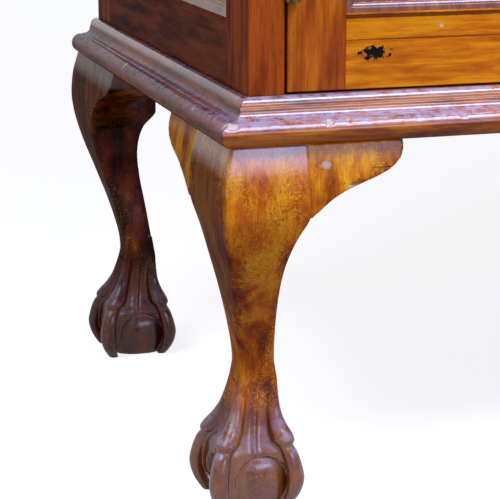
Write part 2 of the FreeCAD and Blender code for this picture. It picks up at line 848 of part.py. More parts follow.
def keyhole(name, back):
    """Round hole and slit for the key, from in front of the door back to a given depth."""
    start = "front - 2 * escutcheon_thickness"
    forward = Vector(0, 1, 0)
    place_of_hole = ("key_x", start, "lock_height")
    hole = cylinder(f"{name}_round", "keyhole_radius", f"{back} - ({start})", *place_of_hole, forward)
    x = middle(("key_x", "key_x"), "(bit_thickness + 2 * key_clearance)")
    z = ("lock_height - keyhole_radius - bit_length", "lock_height")
    return fuse(name, [hole, box(f"{name}_slit", x, (start, back), z)])


def right_stile_cuts():
    """Mortise of the lock case and the keyhole."""
    z = middle(("lock_height", "lock_height"), "case_height")
    mortise = box("case_mortise", ("0", "case_right"), ("case_front", "case_front + case_depth"), z)
    return [mortise, keyhole("stile_keyhole", "case_front + 1")]


def left_stile_cuts():
    """Keep for the lock's bolt, and the grooves and plate recesses of the two flush bolts."""
    reach = "bolt_left - bolt_travel - bolt_clearance"
    cuts = [slot("keep", reach, "0", "bolt_clearance")]
    for end in ("bottom", "top"):
        x, y, z = flush_bolt_limits(end)
        groove_end = "flush_bolt_rest_gap + flush_bolt_length + flush_bolt_clearance"
        groove_x = (f"{x[0]} - flush_bolt_clearance", "0")
        groove_y = outset(y, "flush_bolt_clearance")
        groove_z = along(end, "-2 * flush_bolt_clearance", groove_end)
        cuts.append(box(f"{end}_groove", groove_x, groove_y, groove_z))
        cuts.append(box(f"{end}_plate_recess", ("flush_plate_back", "0"), *plate_limits(end)))
    return cuts


def lock():
    """Case, bolt, key and escutcheon of the right door."""
    z = middle(("lock_height", "lock_height"), "case_height")
    blank = box("case_blank", ("case_left", "case_right"), ("case_front", "case_front + case_depth"), z)
    chamber = cylinder(
        "chamber",
        "key_radius + bit_length + chamber_clearance",
        "slot_front - chamber_front",
        "key_x",
        "chamber_front",
        "lock_height",
        Vector(0, 1, 0),
    )
    hollow = [
        chamber,
        slot("bolt_room", "0", "case_right - case_wall", "bolt_clearance"),
        keyhole("case_keyhole", "chamber_front + 1"),
    ]
    node(cut("case", blank, hollow), "lock_case")
    bolt_z = middle(("lock_height", "lock_height"), "bolt_height")
    bolt_y = ("bolt_front", "bolt_front + bolt_thickness")
    node(box("bolt", ("bolt_left", "bolt_left + bolt_length"), bolt_y, bolt_z), "lock_bolt")
    face = box(
        "escutcheon_blank",
        middle(("key_x", "key_x"), "escutcheon_width"),
        ("front - escutcheon_thickness", "front"),
        middle(("lock_height", "lock_height"), "escutcheon_height"),
    )
    node(cut("escutcheon_plate", face, [keyhole("plate_keyhole", "front + 1")]), "escutcheon")
    key()


def key():
    """Key in the lock with its bit down: ring bow, round shank and flat bit."""
    forward = Vector(0, 1, 0)
    neck = "bow_centre + (bow_radius + bow_hole_radius) / 2"
    shank = cylinder(
        "shank", "key_radius", f"bit_front + bit_width - ({neck})", "key_x", neck, "lock_height", forward
    )
    bit = box(
        "bit",
        middle(("key_x", "key_x"), "bit_thickness"),
        ("bit_front", "bit_front + bit_width"),
        ("lock_height - key_radius - bit_length", "lock_height"),
    )
    sideways = Vector(1, 0, 0)
    across = ("key_x - bow_thickness / 2", "bow_centre", "lock_height")
    disc = cylinder("bow_disc", "bow_radius", "bow_thickness", *across, sideways)
    solid = fuse("key_solid", [shank, bit, disc])
    eye = cylinder("bow_eye", "bow_hole_radius", "bow_thickness", *across, sideways)
    node(cut("key_piece", solid, [eye]), "key")


RELATIONS.update(
    {
        "flush_plate_face": "-meeting_gap / 2",
        "flush_plate_back": "flush_plate_face - flush_plate_thickness",
        "flush_bolt_face": "flush_plate_back - flush_bolt_clearance",
        "door_middle": "front + door_thickness / 2",
    }
)


def along(end, near, far):
    """Limits in height at two distances in from the bottom or top edge of a door."""
    if end == "bottom":
        return (f"door_bottom + {near}", f"door_bottom + {far}")
    return (f"door_top - ({far})", f"door_top - ({near})")


def flush_bolt_limits(end):
    """Limits of a flush bolt drawn back into the door."""
    x = ("flush_bolt_face - flush_bolt_thickness", "flush_bolt_face")
    y = middle(("door_middle", "door_middle"), "flush_bolt_width")
    return x, y, along(end, "flush_bolt_rest_gap", "flush_bolt_rest_gap + flush_bolt_length")


def plate_limits(end):
    """Limits in depth and height of the plate that holds a flush bolt."""
    y = middle(("door_middle", "door_middle"), "flush_plate_width")
    return y, along(end, "0", "flush_plate_length")


def flush_bolt_socket(end):
    """Hole that a flush bolt shoots into, in the base or the frieze."""
    x, y, _ = flush_bolt_limits(end)
    depth = "flush_bolt_travel - flush_bolt_rest_gap - door_end_gap + flush_bolt_clearance"
    z = ("frieze_under", f"frieze_under + {depth}")
    if end == "bottom":
        z = (f"base_top - ({depth})", "base_top")
    return box(f"{end}_socket", outset(x, "flush_bolt_clearance"), outset(y, "flush_bolt_clearance"), z)


def flush_bolts():
    """Bolts at the top and bottom of the left door's meeting edge, each behind a slotted plate."""
    plates = []
    for end in ("bottom", "top"):
        x, y, z = flush_bolt_limits(end)
        thumb_y = middle(("door_middle", "door_middle"), "thumb_width")
        thumb_z = along(end, "thumb_distance", "thumb_distance + thumb_length")
        thumb = box(f"{end}_thumb", (x[0], "flush_plate_face + thumb_proud"), thumb_y, thumb_z)
        node(fuse(f"{end}_bolt", [box(f"{end}_slide", x, y, z), thumb]), f"flush_bolt_{end}")
        blank = box(f"{end}_plate_blank", ("flush_plate_back", "flush_plate_face"), *plate_limits(end))
        opening = box(
            f"{end}_plate_slot",
            ("flush_plate_back - 1", "flush_plate_face + 1"),
            outset(thumb_y, "flush_bolt_clearance"),
            along(
                end,
                "thumb_distance - flush_bolt_travel - flush_bolt_clearance",
                "thumb_distance + thumb_length + flush_bolt_clearance",
            ),
        )
        plates.append(cut(f"{end}_plate", blank, [opening]))
    node(group("flush_plates", plates), "flush_bolt_plates")


# Hinges: two butt hinges to a door, the pin fixed in the leaf on the carcase


def knuckle(name, sense, low, high):
    """Barrel between two heights, with the web that joins it to the leaf on one side of the gap."""
    barrel = cylinder(f"{name}_barrel", "barrel_radius", f"{high} - ({low})", "hinge_x", "hinge_y", low)
    x = leaf_limits(sense)
    web = box(f"{name}_web", (x[0], "hinge_x"), ("hinge_y", "hinge_y + leaf_web"), (low, high))
    return [barrel, web, box(f"{name}_neck", x, ("hinge_y", "front"), (low, high))]


def leaf_limits(sense):
    """Limits across the gap of the leaf on the carcase or on the door."""
    if sense == "carcase":
        return ("-inner", "-inner + leaf_thickness")
    return ("door_hinge_side - leaf_thickness", "door_hinge_side")


def hinge(name, bottom):
    """Carcase leaf with pin, and door leaf, of one hinge."""
    top = f"{bottom} + hinge_length"
    low = f"{bottom} + hinge_length / 3"
    high = f"{bottom} + hinge_length * 2 / 3"
    leaves = {}
    for sense in ("carcase", "door"):
        leaves[sense] = box(
            f"{name}_{sense}_leaf", leaf_limits(sense), ("front", "front + leaf_width"), (bottom, top)
        )
    pin = cylinder(f"{name}_pin", "pin_radius", "hinge_length", "hinge_x", "hinge_y", bottom)
    carcase = [leaves["carcase"], pin]
    carcase += knuckle(f"{name}_lower", "carcase", bottom, f"{low} - knuckle_gap / 2")
    carcase += knuckle(f"{name}_upper", "carcase", f"{high} + knuckle_gap / 2", top)
    door = [leaves["door"]]
    door += knuckle(f"{name}_door", "door", f"{low} + knuckle_gap / 2", f"{high} - knuckle_gap / 2")
    bore_radius = "pin_radius + pin_clearance"
    bore = cylinder(f"{name}_bore", bore_radius, "hinge_length", "hinge_x", "hinge_y", bottom)
    solid = fuse(f"{name}_door_solid", door)
    return fuse(f"{name}_carcase", carcase), cut(f"{name}_door_leaf_bored", solid, [bore])


def hinges():
    """Two hinges to each door."""
    lowest = "door_bottom + hinge_end_distance"
    highest = "door_top - hinge_end_distance - hinge_length"
    heights = {"low": lowest, "high": highest}
    pairs = [hinge(f"hinge_{name}", bottom) for name, bottom in heights.items()]
    on_carcase = group("hinges_on_carcase_left", [pair[0] for pair in pairs])
    right = mirror("hinges_on_carcase_right", on_carcase)
    node(group("hinges_on_carcase", [on_carcase, right]), "hinge_leaves_carcase")
    on_door = node(group("hinges_on_door", [pair[1] for pair in pairs]), "hinge_leaves_left_door")
    node(mirror("hinges_on_door_right", on_door), "hinge_leaves_right_door")


# Legs: shaped to a front and a side template, with a claw and ball foot, and ears glued on both sides

LEG_RINGS = 15
BALL_RINGS = 6
BALL_SIDES = 14
BALL_TOP_ANGLE = 75
CLAW_TURNS = (45, 135, 225, 315)


def eased(table, along_column, column, at):
    """Value of a column at a place between stations, on a smooth curve through them."""
    known = sorted((value(f"{name}_{along_column}"), value(f"{name}_{column}")) for name in table)
    slopes = []
    for index in range(len(known)):
        before, after = known[max(index - 1, 0)], known[min(index + 1, len(known) - 1)]
        slopes.append((after[1] - before[1]) / (after[0] - before[0]))
    for index in range(len(known) - 1):
        (low, first), (high, last) = known[index : index + 2]
        if at <= high or index == len(known) - 2:
            span = high - low
            part = (at - low) / span
            rise = part * part * (3 - 2 * part)
            bend = part * (1 - part) * ((1 - part) * slopes[index] - part * slopes[index + 1]) * span
            return first + (last - first) * rise + bend
    return known[-1][1]


def bevelled(centre, half_x, half_y, bevel, turn=0):
    """Rectangle with bevelled corners, level, about a centre and turned in plan."""
    inner_x, inner_y = half_x - bevel, half_y - bevel
    corners = [
        (inner_x, -half_y),
        (half_x, -inner_y),
        (half_x, inner_y),
        (inner_x, half_y),
        (-inner_x, half_y),
        (-half_x, inner_y),
        (-half_x, -inner_y),
        (-inner_x, -half_y),
    ]
    spin = Rotation(Vector(0, 0, 1), turn)
    return [centre + spin.multVec(Vector(x, y, 0)) for x, y in corners]


def flat_face(corners):
    """Flat face with straight edges."""
    return Part.Face(Part.makePolygon([*corners, corners[0]]))


def stack(sections):
    """Solid through level sections, whose matching sides are parallel, joined by flat faces."""
    faces = [flat_face(sections[0]), flat_face(sections[-1])]
    for lower, upper in zip(sections, sections[1:]):
        for index in range(len(lower)):
            faces.append(flat_face([lower[index - 1], lower[index], upper[index], upper[index - 1]]))
    solid = Part.Solid(Part.Shell(faces))
    return solid if solid.Volume > 0 else solid.reversed()


def shares(count):
    """Even steps from 0 to 1."""
    return [index / count for index in range(count + 1)]


def leg_post():
    """The leg above the ankle, cut to both templates, with the corners eased towards the ankle."""
    corner = Vector(-value("half_width"), value("front"), 0)
    ankle, top = value("ankle_height"), value("leg_height")
    limits = {"side_in": value("block_side"), "front_in": value("block_front")}
    sections = []
    for share in shares(LEG_RINGS):
        edge = {column: eased(LEG_STATIONS, "share", column, share) for column in COLUMNS[1:]}
        for column, limit in limits.items():
            edge[column] = min(edge[column], limit)
        x = (edge["side_out"] + edge["side_in"]) / 2
        y = (edge["front_out"] + edge["front_in"]) / 2
        half_x = (edge["side_in"] - edge["side_out"]) / 2
        half_y = (edge["front_in"] - edge["front_out"]) / 2
        centre = corner + Vector(x, y, ankle + share * (top - ankle))
        sections.append(bevelled(centre, half_x, half_y, edge["bevel"]))
    return stack(sections)


def foot_axis(height):
    """Middle of the foot at a height, which moves over to the middle of the ankle above the ball."""
    low, high = value("ball_height"), value("ankle_height")
    share = min(max((height - low) / (high - low), 0), 1)
    ankle_x = (value("ankle_side_out") + value("ankle_side_in")) / 2
    ankle_y = (value("ankle_front_out") + value("ankle_front_in")) / 2
    x = value("foot_side") + (ankle_x - value("foot_side")) * share
    y = value("foot_front") + (ankle_y - value("foot_front")) * share
    return Vector(x - value("half_width"), y + value("front"), height)


def claw(turn):
    """One claw from the ankle to the floor, with two knuckles."""
    outward = Vector(math.cos(math.radians(turn)), math.sin(math.radians(turn)), 0)
    sections = []
    for station in reversed(CLAW_STATIONS):
        height, distance, depth, width = (value(f"{station}_{column}") for column in CLAW_COLUMNS)
        centre = foot_axis(height) + outward * distance
        sections.append(bevelled(centre, depth, width, min(depth, width) / 2, turn))
    return stack(sections)


def web():
    """Skin between the claws, spreading from the ankle over the top of the ball."""
    sections = []
    for station in reversed(WEB_STATIONS):
        height, half = (value(f"{station}_{column}") for column in WEB_COLUMNS)
        sections.append(bevelled(foot_axis(height), half, half, half / 2))
    return stack(sections)


def ball():
    """The ball, flat where it stands on the floor."""
    radius = value("ball_radius")
    middle_height = value("ball_height") - radius
    base = foot_axis(0)
    first = math.asin(-middle_height / radius)
    sections = []
    for share in shares(BALL_RINGS):
        angle = first + (math.radians(BALL_TOP_ANGLE) - first) * share
        ring = radius * math.cos(angle)
        height = middle_height + radius * math.sin(angle)
        turns = (2 * math.pi * side / BALL_SIDES for side in range(BALL_SIDES))
        sections.append(
            [base + Vector(ring * math.cos(turn), ring * math.sin(turn), height) for turn in turns]
        )
    return stack(sections)


def leg_tenon():
    """Square tenon on top of the leg, sunk into it so that the two join."""
    top, depth = value("leg_height"), value("leg_tenon_depth")
    x, y = ([value(limit) for limit in limits] for limits in leg_tenon_limits("left", "front"))
    return Part.makeBox(x[1] - x[0], y[1] - y[0], depth * 3 / 2, Vector(x[0], y[0], top - depth / 2))


def ear(name, post, outward, start, length, depth_start):
    """Ear beside the knee: the knee's own section drawn outwards, cut to a scrolled outline."""
    overlap = value("ear_overlap")
    section = max(post.slice(outward, start - overlap), key=lambda wire: wire.BoundBox.ZMax)
    prism = Part.Face(section).extrude(outward * length)
    prism.translate(outward * overlap)
    top = value("leg_height")
    across = Vector(0, 1, 0) if outward.x else Vector(1, 0, 0)
    origin = outward * start + across * (depth_start - value("ear_spare")) + Vector(0, 0, top)
    down = Vector(0, 0, -1)

    def point(out, drop):
        return origin + outward * out + down * drop

    tip = point(length, 0)
    tip_end = point(length - value("ear_tip_setback"), value("ear_tip_drop"))
    waist = point(value("ear_waist_length"), value("ear_waist_drop"))
    throat = point(0, top - value("ankle_height + ear_foot_share * (leg_height - ankle_height)"))
    edges = [
        Part.LineSegment(origin, tip).toShape(),
        bulge(tip, tip_end, value("ear_tip_radius"), point(0, 0)),
        Part.LineSegment(tip_end, waist).toShape(),
        bulge(waist, throat, value("ear_throat_radius"), point(length, 2 * top)),
        Part.LineSegment(throat, origin).toShape(),
    ]
    face = Part.Face(Part.Wire(edges))
    shape = face.extrude(across * (value("ear_depth") + value("ear_spare"))).common(prism)
    item = document.addObject("Part::Feature", name)
    item.Shape = shape.Solids[0]
    return item


def bulge(start, end, radius, inside):
    """Arc between two points with its middle on the far side of a point."""
    half = (end - start) * 0.5
    centre = start + half
    away = centre - inside
    along_chord = half * (1 / half.Length)
    away = (away - along_chord * away.dot(along_chord)).normalize()
    height = radius - math.sqrt(max(radius**2 - half.Length**2, 0))
    return Part.Arc(start, centre + away * height, end).toShape()


def legs():
    """The front left leg with its ears, and the other three as its mirror images."""
    post = leg_post()
    shape = post.fuse([web(), ball(), leg_tenon(), *(claw(turn) for turn in CLAW_TURNS)])
    leg = document.addObject("Part::Feature", "leg_shape")
    leg.Shape = shape.removeSplitter().Solids[0]
    outer_x = value("knee_side_out - half_width")
    outer_y = value("knee_front_out + front")
    front_start = value("block_side - half_width")
    side_start = value("block_front + front")
    ears = group(
        "ear_pair",
        [
            ear("ear_front", post, Vector(1, 0, 0), front_start, value("ear_front_length"), outer_y),
            ear("ear_side", post, Vector(0, 1, 0), side_start, value("ear_side_length"), outer_x),
        ],
    )
    for piece, label in ((leg, "leg"), (ears, "ears")):
        front_left = node(piece, f"{label}_front_left")
        node(mirror(f"{label}_copy_1", front_left), f"{label}_front_right")
        back_left = mirror(f"{label}_copy_2", front_left, Vector(0, 1, 0), "mid_depth")
        node(back_left, f"{label}_back_left")
        node(mirror(f"{label}_copy_3", back_left), f"{label}_back_right")


def write_out():
    """Checks every object and every piece, and writes each piece to its own file."""
    document.recompute()
    for item in document.Objects:
        if "Invalid" in item.State or "Error" in item.State:
            raise ValueError(f"{item.Name} has failed")
    os.makedirs("parts", exist_ok=True)
    for item in nodes:
        if item.Shape.isNull() or not item.Shape.isValid() or not item.Shape.Solids:
            raise ValueError(f"{item.Label} has no sound shape")
        item.Shape.exportStep(f"parts/{item.Label}.step")
    print(len(nodes), "pieces written")


fill_sheet()
base_frame()
mitred_surround(
    "base_moulding", BASE_PROFILE, "moulding_projection", "base_height", "leg_height"
)
mitred_surround(
    "cornice", CORNICE_PROFILE, "cornice_projection", "cornice_height", "cabinet_height - cornice_height"
)
side_frames()
boards()
shelves()
side_glazing()
door_glazing()
lattices()
door_frames()
hinges()
lock()
flush_bolts()
legs()
write_out()
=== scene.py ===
"""Glazed display cabinet on carved legs, seen close at its lower front left corner.

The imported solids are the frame. The legs and their ears are carved here, the base moulding is run and
chipped, the glazing bars are moulded, every board has its arrises eased, and each piece gets its finish.
Sizes are in millimetres unless a name says otherwise, and meshes are in metres.
"""

import json
import logging
import math
import re
from dataclasses import dataclass
from enum import Enum

import bmesh
import bpy
import numpy as np
from mathutils import Matrix, Vector, noise

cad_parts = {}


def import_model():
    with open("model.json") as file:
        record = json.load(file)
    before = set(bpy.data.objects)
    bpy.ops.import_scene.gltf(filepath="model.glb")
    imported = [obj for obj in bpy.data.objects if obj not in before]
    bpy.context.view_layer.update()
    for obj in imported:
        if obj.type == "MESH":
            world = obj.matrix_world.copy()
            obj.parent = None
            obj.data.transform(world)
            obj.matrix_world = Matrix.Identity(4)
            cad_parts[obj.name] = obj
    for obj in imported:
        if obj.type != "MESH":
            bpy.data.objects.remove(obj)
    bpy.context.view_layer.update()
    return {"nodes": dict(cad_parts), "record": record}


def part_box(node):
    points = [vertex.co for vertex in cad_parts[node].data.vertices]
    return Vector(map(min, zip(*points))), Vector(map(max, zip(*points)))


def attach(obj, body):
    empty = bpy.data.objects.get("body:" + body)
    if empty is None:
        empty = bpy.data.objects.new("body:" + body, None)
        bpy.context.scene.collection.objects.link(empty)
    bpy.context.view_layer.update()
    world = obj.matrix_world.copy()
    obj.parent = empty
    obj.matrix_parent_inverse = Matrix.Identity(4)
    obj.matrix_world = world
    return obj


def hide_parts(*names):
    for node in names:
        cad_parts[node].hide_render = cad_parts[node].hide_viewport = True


Form = bmesh.types.BMesh
Material = bpy.types.Material
Mesh = bpy.types.Mesh
Piece = bpy.types.Object
Socket = bpy.types.NodeSocket
Tree = bpy.types.NodeTree
Pair = tuple[float, float]
Place = tuple[float, float, float]
Row = tuple[float, ...]
Rings = list[list[Vector]]

MM = 0.001
HALF_WIDTH = 505.0
FRONT = -228.3
BACK = 242.7
MID_DEPTH = 7.2
LEG_TOP = 270.0

log = logging.getLogger("cabinet")


# Nodes


def linear(code: str) -> tuple[float, float, float, float]:
    """Turns an sRGB colour as #rrggbb into linear red, green, blue and an alpha of 1."""
    parts = (int(code[index : index + 2], 16) / 255 for index in (1, 3, 5))
    red, green, blue = (p / 12.92 if p <= 0.04045 else ((p + 0.055) / 1.055) ** 2.4 for p in parts)
    return red, green, blue, 1.0


def add(tree: Tree, kind: str, links: dict | None = None, **settings) -> bpy.types.Node:
    """Adds a node.

    Args:
        tree: Tree that gets the node.
        kind: Blender's name for the kind of node.
        links: For an input, by name or number, the output that feeds it or its value.
        settings: Attributes to set on the node before its inputs.

    Returns:
        The new node.
    """
    node = tree.nodes.new(kind)
    for name, setting in settings.items():
        setattr(node, name, setting)
    for name, source in (links or {}).items():
        if isinstance(source, Socket):
            tree.links.new(source, node.inputs[name])
        else:
            node.inputs[name].default_value = source
    return node


def output(tree: Tree, kind: str, links: dict | None = None, **settings) -> Socket:
    """First output of a new node."""
    return add(tree, kind, links, **settings).outputs[0]


def calc(tree: Tree, operation: str, *values: Socket | float) -> Socket:
    """Result of one operation on numbers."""
    return output(tree, "ShaderNodeMath", dict(enumerate(values)), operation=operation)


def vector(tree: Tree, operation: str, *values: Socket | Place) -> Socket:
    """Result of one operation on vectors."""
    outputs = add(tree, "ShaderNodeVectorMath", dict(enumerate(values)), operation=operation).outputs
    return outputs["Value" if operation in ("LENGTH", "DOT_PRODUCT") else 0]


def between(tree: Tree, value: Socket, low: float, high: float) -> Socket:
    """Share from 0 to 1 between two values, with soft ends."""
    links = {"Value": value, "From Min": low, "From Max": high}
    return output(tree, "ShaderNodeMapRange", links, interpolation_type="SMOOTHSTEP")


def spread(tree: Tree, value: Socket, low: float, high: float) -> Socket:
    """Turns a value from 0 to 1 into one between two limits."""
    return output(tree, "ShaderNodeMapRange", {"Value": value, "To Min": low, "To Max": high})


def mix(tree: Tree, share: Socket, first: Socket | str, second: Socket | str) -> Socket:
    """Mixes two colours, each a socket or a code, by a share."""
    first, second = (linear(colour) if isinstance(colour, str) else colour for colour in (first, second))
    return add(tree, "ShaderNodeMix", {0: share, 6: first, 7: second}, data_type="RGBA").outputs[2]


def texture(tree: Tree, place: Socket, size: float, detail: float, **more: float) -> bpy.types.Node:
    """Noise texture with patches of a size, in the unit of its place."""
    return add(tree, "ShaderNodeTexNoise", {"Vector": place, "Scale": 1 / size, "Detail": detail, **more})


def patches(tree: Tree, place: Socket, drawn: float, size: float, detail: float = 3.0) -> Socket:
    """Noise with patches of a size across the grain, drawn out along it by a factor."""
    place = vector(tree, "MULTIPLY", place, (1.0, 1.0, 1.0 / drawn))
    return texture(tree, place, size, detail, Roughness=0.6, Distortion=0.3).outputs[0]


def bump(tree: Tree, height: Socket, strength: float, depth: float, **more: Socket) -> Socket:
    """Normal of a relief with a depth in millimetres."""
    links = {"Height": height, "Strength": strength, "Distance": depth * MM, **more}
    return output(tree, "ShaderNodeBump", links)


def covered(material: Material, tree: Tree, shader: Socket) -> Material:
    """Gives a material its surface, and returns it."""
    add(tree, "ShaderNodeOutputMaterial", {"Surface": shader})
    return material


def new_material(name: str) -> tuple[Material, Tree, Socket]:
    """Makes an empty material, and returns it with its tree and the place of each point in metres."""
    material = bpy.data.materials.new(name)
    material.use_nodes = True
    tree = material.node_tree
    tree.nodes.clear()
    return material, tree, add(tree, "ShaderNodeTexCoord").outputs["Object"]


def new_group(name: str, shape: str, sizes: tuple[str, ...], made: str) -> tuple[Tree, dict]:
    """Starts a geometry tree that takes a shape and sizes, and returns it with what it takes."""
    tree = bpy.data.node_groups.new(name, "GeometryNodeTree")
    tree.interface.new_socket(shape, in_out="INPUT", socket_type="NodeSocketGeometry")
    for size in sizes:
        tree.interface.new_socket(size, in_out="INPUT", socket_type="NodeSocketFloat")
    tree.interface.new_socket(made, in_out="OUTPUT", socket_type="NodeSocketGeometry")
    return tree, add(tree, "NodeGroupInput").outputs


# Meshes


def new_object(name: str, mesh: Mesh) -> Piece:
    """Puts a mesh into the scene as an object at the origin."""
    piece = bpy.data.objects.new(name, mesh)
    bpy.context.scene.collection.objects.link(piece)
    return piece


def baked(piece: Piece) -> Piece:
    """Applies an object's modifiers to its mesh, and returns it."""
    graph = bpy.context.evaluated_depsgraph_get()
    graph.update()
    mesh = bpy.data.meshes.new_from_object(piece.evaluated_get(graph))
    piece.modifiers.clear()
    piece.data = mesh
    return piece


def grown(piece: Piece, tree: Tree, sizes: dict[str, float]) -> Piece:
    """Runs a geometry tree on an object with its sizes set, and keeps the plain mesh."""
    change = piece.modifiers.new("grown", "NODES")
    change.node_group = tree
    for item in tree.interface.items_tree:
        if item.name in sizes:
            change[item.identifier] = sizes[item.name]
    return baked(piece)


def cut(base: Piece, tool: Piece, operation: str = "DIFFERENCE") -> Piece:
    """Cuts or crosses one object with another, which is then removed."""
    change = base.modifiers.new("cut", "BOOLEAN")
    change.operation, change.object, change.solver = operation, tool, "EXACT"
    baked(base)
    bpy.data.objects.remove(tool)
    return base


def finish_mesh(form: Form, name: str) -> Piece:
    """Turns a bmesh with its normals made to face outwards into an object."""
    bmesh.ops.recalc_face_normals(form, faces=form.faces)
    mesh = bpy.data.meshes.new(name)
    form.to_mesh(mesh)
    form.free()
    return new_object(name, mesh)


def joined(name: str, pieces: list[Piece], form: Form | None = None) -> Piece:
    """Makes one object of several, which are removed, and of a bmesh if there is one."""
    form = form or bmesh.new()
    for piece in pieces:
        form.from_mesh(piece.data)
        bpy.data.objects.remove(piece)
    return finish_mesh(form, name)


def lofted(name: str, *solids: Rings) -> Piece:
    """Makes one object of closed solids, each through rings of points in metres."""
    form = bmesh.new()
    for rings in solids:
        loft(form, rings)
    return finish_mesh(form, name)


def loft(form: Form, rings: Rings) -> None:
    """Adds a closed solid through rings of as many points each, in metres."""
    lines = [[form.verts.new(point) for point in ring] for ring in rings]
    skin(form, lines)
    form.faces.new(list(reversed(lines[0])))
    form.faces.new(lines[-1])


def skin(form: Form, lines: list[list[bmesh.types.BMVert]]) -> None:
    """Adds the faces between rings of vertices."""
    for low, high in zip(lines, lines[1:]):
        for index in range(len(low)):
            after = (index + 1) % len(low)
            form.faces.new((low[index], low[after], high[after], high[index]))


def read(items: bpy.types.bpy_prop_collection, name: str, width: int, kind: type = float) -> np.ndarray:
    """Reads one attribute of a mesh's vertices or edges as rows."""
    values = np.empty(len(items) * width, dtype=kind)
    items.foreach_get(name, values)
    return values.reshape(-1, width)


def shade(mesh: Mesh, smooth: bool) -> None:
    """Shades every face of a mesh smooth or flat."""
    mesh.polygons.foreach_set("use_smooth", [smooth] * len(mesh.polygons))


def turns(count: int) -> list[float]:
    """Angles all round in a number of equal steps."""
    return [math.tau * index / count for index in range(count)]


def squared(turn: float, power: float) -> float:
    """Reach of a rounded square at an angle, 1 at the middle of its sides."""
    return (abs(math.cos(turn)) ** power + abs(math.sin(turn)) ** power) ** (-1 / power)


def eased(stations: Row, values: Row, at: float) -> float:
    """Reads a smooth curve through stations.

    Args:
        stations: Places of the stations in rising order.
        values: Value at each station.
        at: Place to read.

    Returns:
        The value there, held at the end values outside the stations.
    """
    if at <= stations[0]:
        return values[0]
    if at >= stations[-1]:
        return values[-1]
    index = next(i for i in range(len(stations) - 1) if at <= stations[i + 1])

    def slope(i: int) -> float:
        low, high = max(i - 1, 0), min(i + 1, len(stations) - 1)
        return (values[high] - values[low]) / (stations[high] - stations[low])

    gap = stations[index + 1] - stations[index]
    t = (at - stations[index]) / gap
    straight = values[index] + (values[index + 1] - values[index]) * t**2 * (3 - 2 * t)
    return straight + gap * t * (1 - t) * ((1 - t) * slope(index) - t * slope(index + 1))


def arc(x: float, y: float, radius: float, first: int, last: int, steps: int) -> list[Pair]:
    """Points along an arc about a middle, from one angle in degrees to another."""
    angles = [math.radians(first + (last - first) * step / steps) for step in range(steps + 1)]
    return [(x + radius * math.cos(angle), y + radius * math.sin(angle)) for angle in angles]


def rounded_rectangle(low: Pair, high: Pair, radius: float, z: float) -> list[Vector]:
    """Level section with rounded corners.

    Args:
        low: Least x and y.
        high: Greatest x and y.
        radius: Radius of the corners.
        z: Height.

    Returns:
        Points of the section in metres, turning to the left.
    """
    left, right = low[0] + radius, high[0] - radius
    near, far = low[1] + radius, high[1] - radius
    points = []
    for x, y, start in ((right, far, 0), (left, far, 90), (left, near, 180), (right, near, 270)):
        points += [Vector((*place, z)) * MM for place in arc(x, y, radius, start, start + 90, 5)]
    return points


def mirrored(piece: Piece, name: str, axis: int, place: float) -> Piece:
    """Copies an object to the other side of a plane, with its faces still pointing outwards.

    Args:
        piece: Object to copy.
        name: Name of the copy.
        axis: Axis across the plane, 0 for X and 1 for Y.
        place: Place of the plane on that axis.

    Returns:
        The copy.
    """
    mesh = piece.data.copy()
    scale, shift = Vector((1, 1, 1)), Vector((0, 0, 0))
    scale[axis], shift[axis] = -1, 2 * place * MM
    mesh.transform(Matrix.Translation(shift) @ Matrix.Diagonal(scale).to_4x4())
    mesh.flip_normals()
    return new_object(name, mesh)


def keep_inside(piece: Piece, node: str) -> None:
    """Keeps a piece's vertices inside the box of the solid that it stands for."""
    low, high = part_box(node)
    points = np.clip(read(piece.data.vertices, "co", 3), np.array(low), np.array(high))
    piece.data.vertices.foreach_set("co", points.ravel())
    piece.data.update()


def dress(piece: Piece, finish: Material) -> None:
    """Gives an object one material."""
    piece.data.materials.clear()
    piece.data.materials.append(finish)


def stand_in(piece: Piece, node: str, body: str, finish: Material) -> None:
    """Dresses a piece and puts it in the place of a solid.

    Args:
        piece: Finished object.
        node: Name of the solid.
        body: Body that it rides on.
        finish: Material.
    """
    dress(piece, finish)
    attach(piece, body)
    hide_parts(node)
    log.info("%s: %d faces", piece.name, len(piece.data.polygons))


# Finishes


class Grain(Enum):
    """Axis that the grain of a piece follows, as the turn that brings it upright."""

    ALONG_X = (0.0, math.radians(90), 0.0)
    ALONG_Y = (math.radians(90), 0.0, 0.0)
    UPRIGHT = (0.0, 0.0, 0.0)


class Wear(Enum):
    """Where a finish finds the arrises that have worn pale."""

    ARRIS = "arris"
    CARVED = "carved"


@dataclass(frozen=True)
class Layer:
    """Noise over wood: how far it is drawn out, its size and detail, its limits and how much it covers."""

    drawn: float
    size: float
    detail: float
    low: float
    high: float
    cover: float = 1.0

    def share(self, tree: Tree, place: Socket) -> Socket:
        """Share of the layer at each point."""
        share = between(tree, patches(tree, place, self.drawn, self.size, self.detail), self.low, self.high)
        return calc(tree, "MULTIPLY", share, self.cover)


STREAKS = Layer(30.0, 1.3, 4.0, 0.42, 0.68, 0.4)
PORES = Layer(9.0, 0.9, 1.0, 0.66, 0.74, 0.55)
FLAKES = Layer(1.2, 1.2, 3.0, 0.5, 0.62)
FLAKED_PARTS = Layer(1.5, 34.0, 4.0, 0.4, 0.62)
# Patches of the painted sheen, the pale blue reflection painted on faces that look up
SHEEN_PATCHES = Layer(1.0, 7.0, 5.0, 0.3, 0.62)


@dataclass(frozen=True)
class Mark:
    """Stain, burn, blister, or patch of painted shade or painted highlight at one place of a piece."""

    centre: Place
    size: Place
    colour: str
    ragged: float = 0.5
    cover: float = 1.0


@dataclass(frozen=True)
class Shine:
    """Level at which wax and dirt have built up a deeper polish: height, reach up and down, and strength."""

    height: float
    reach: float
    polish: float


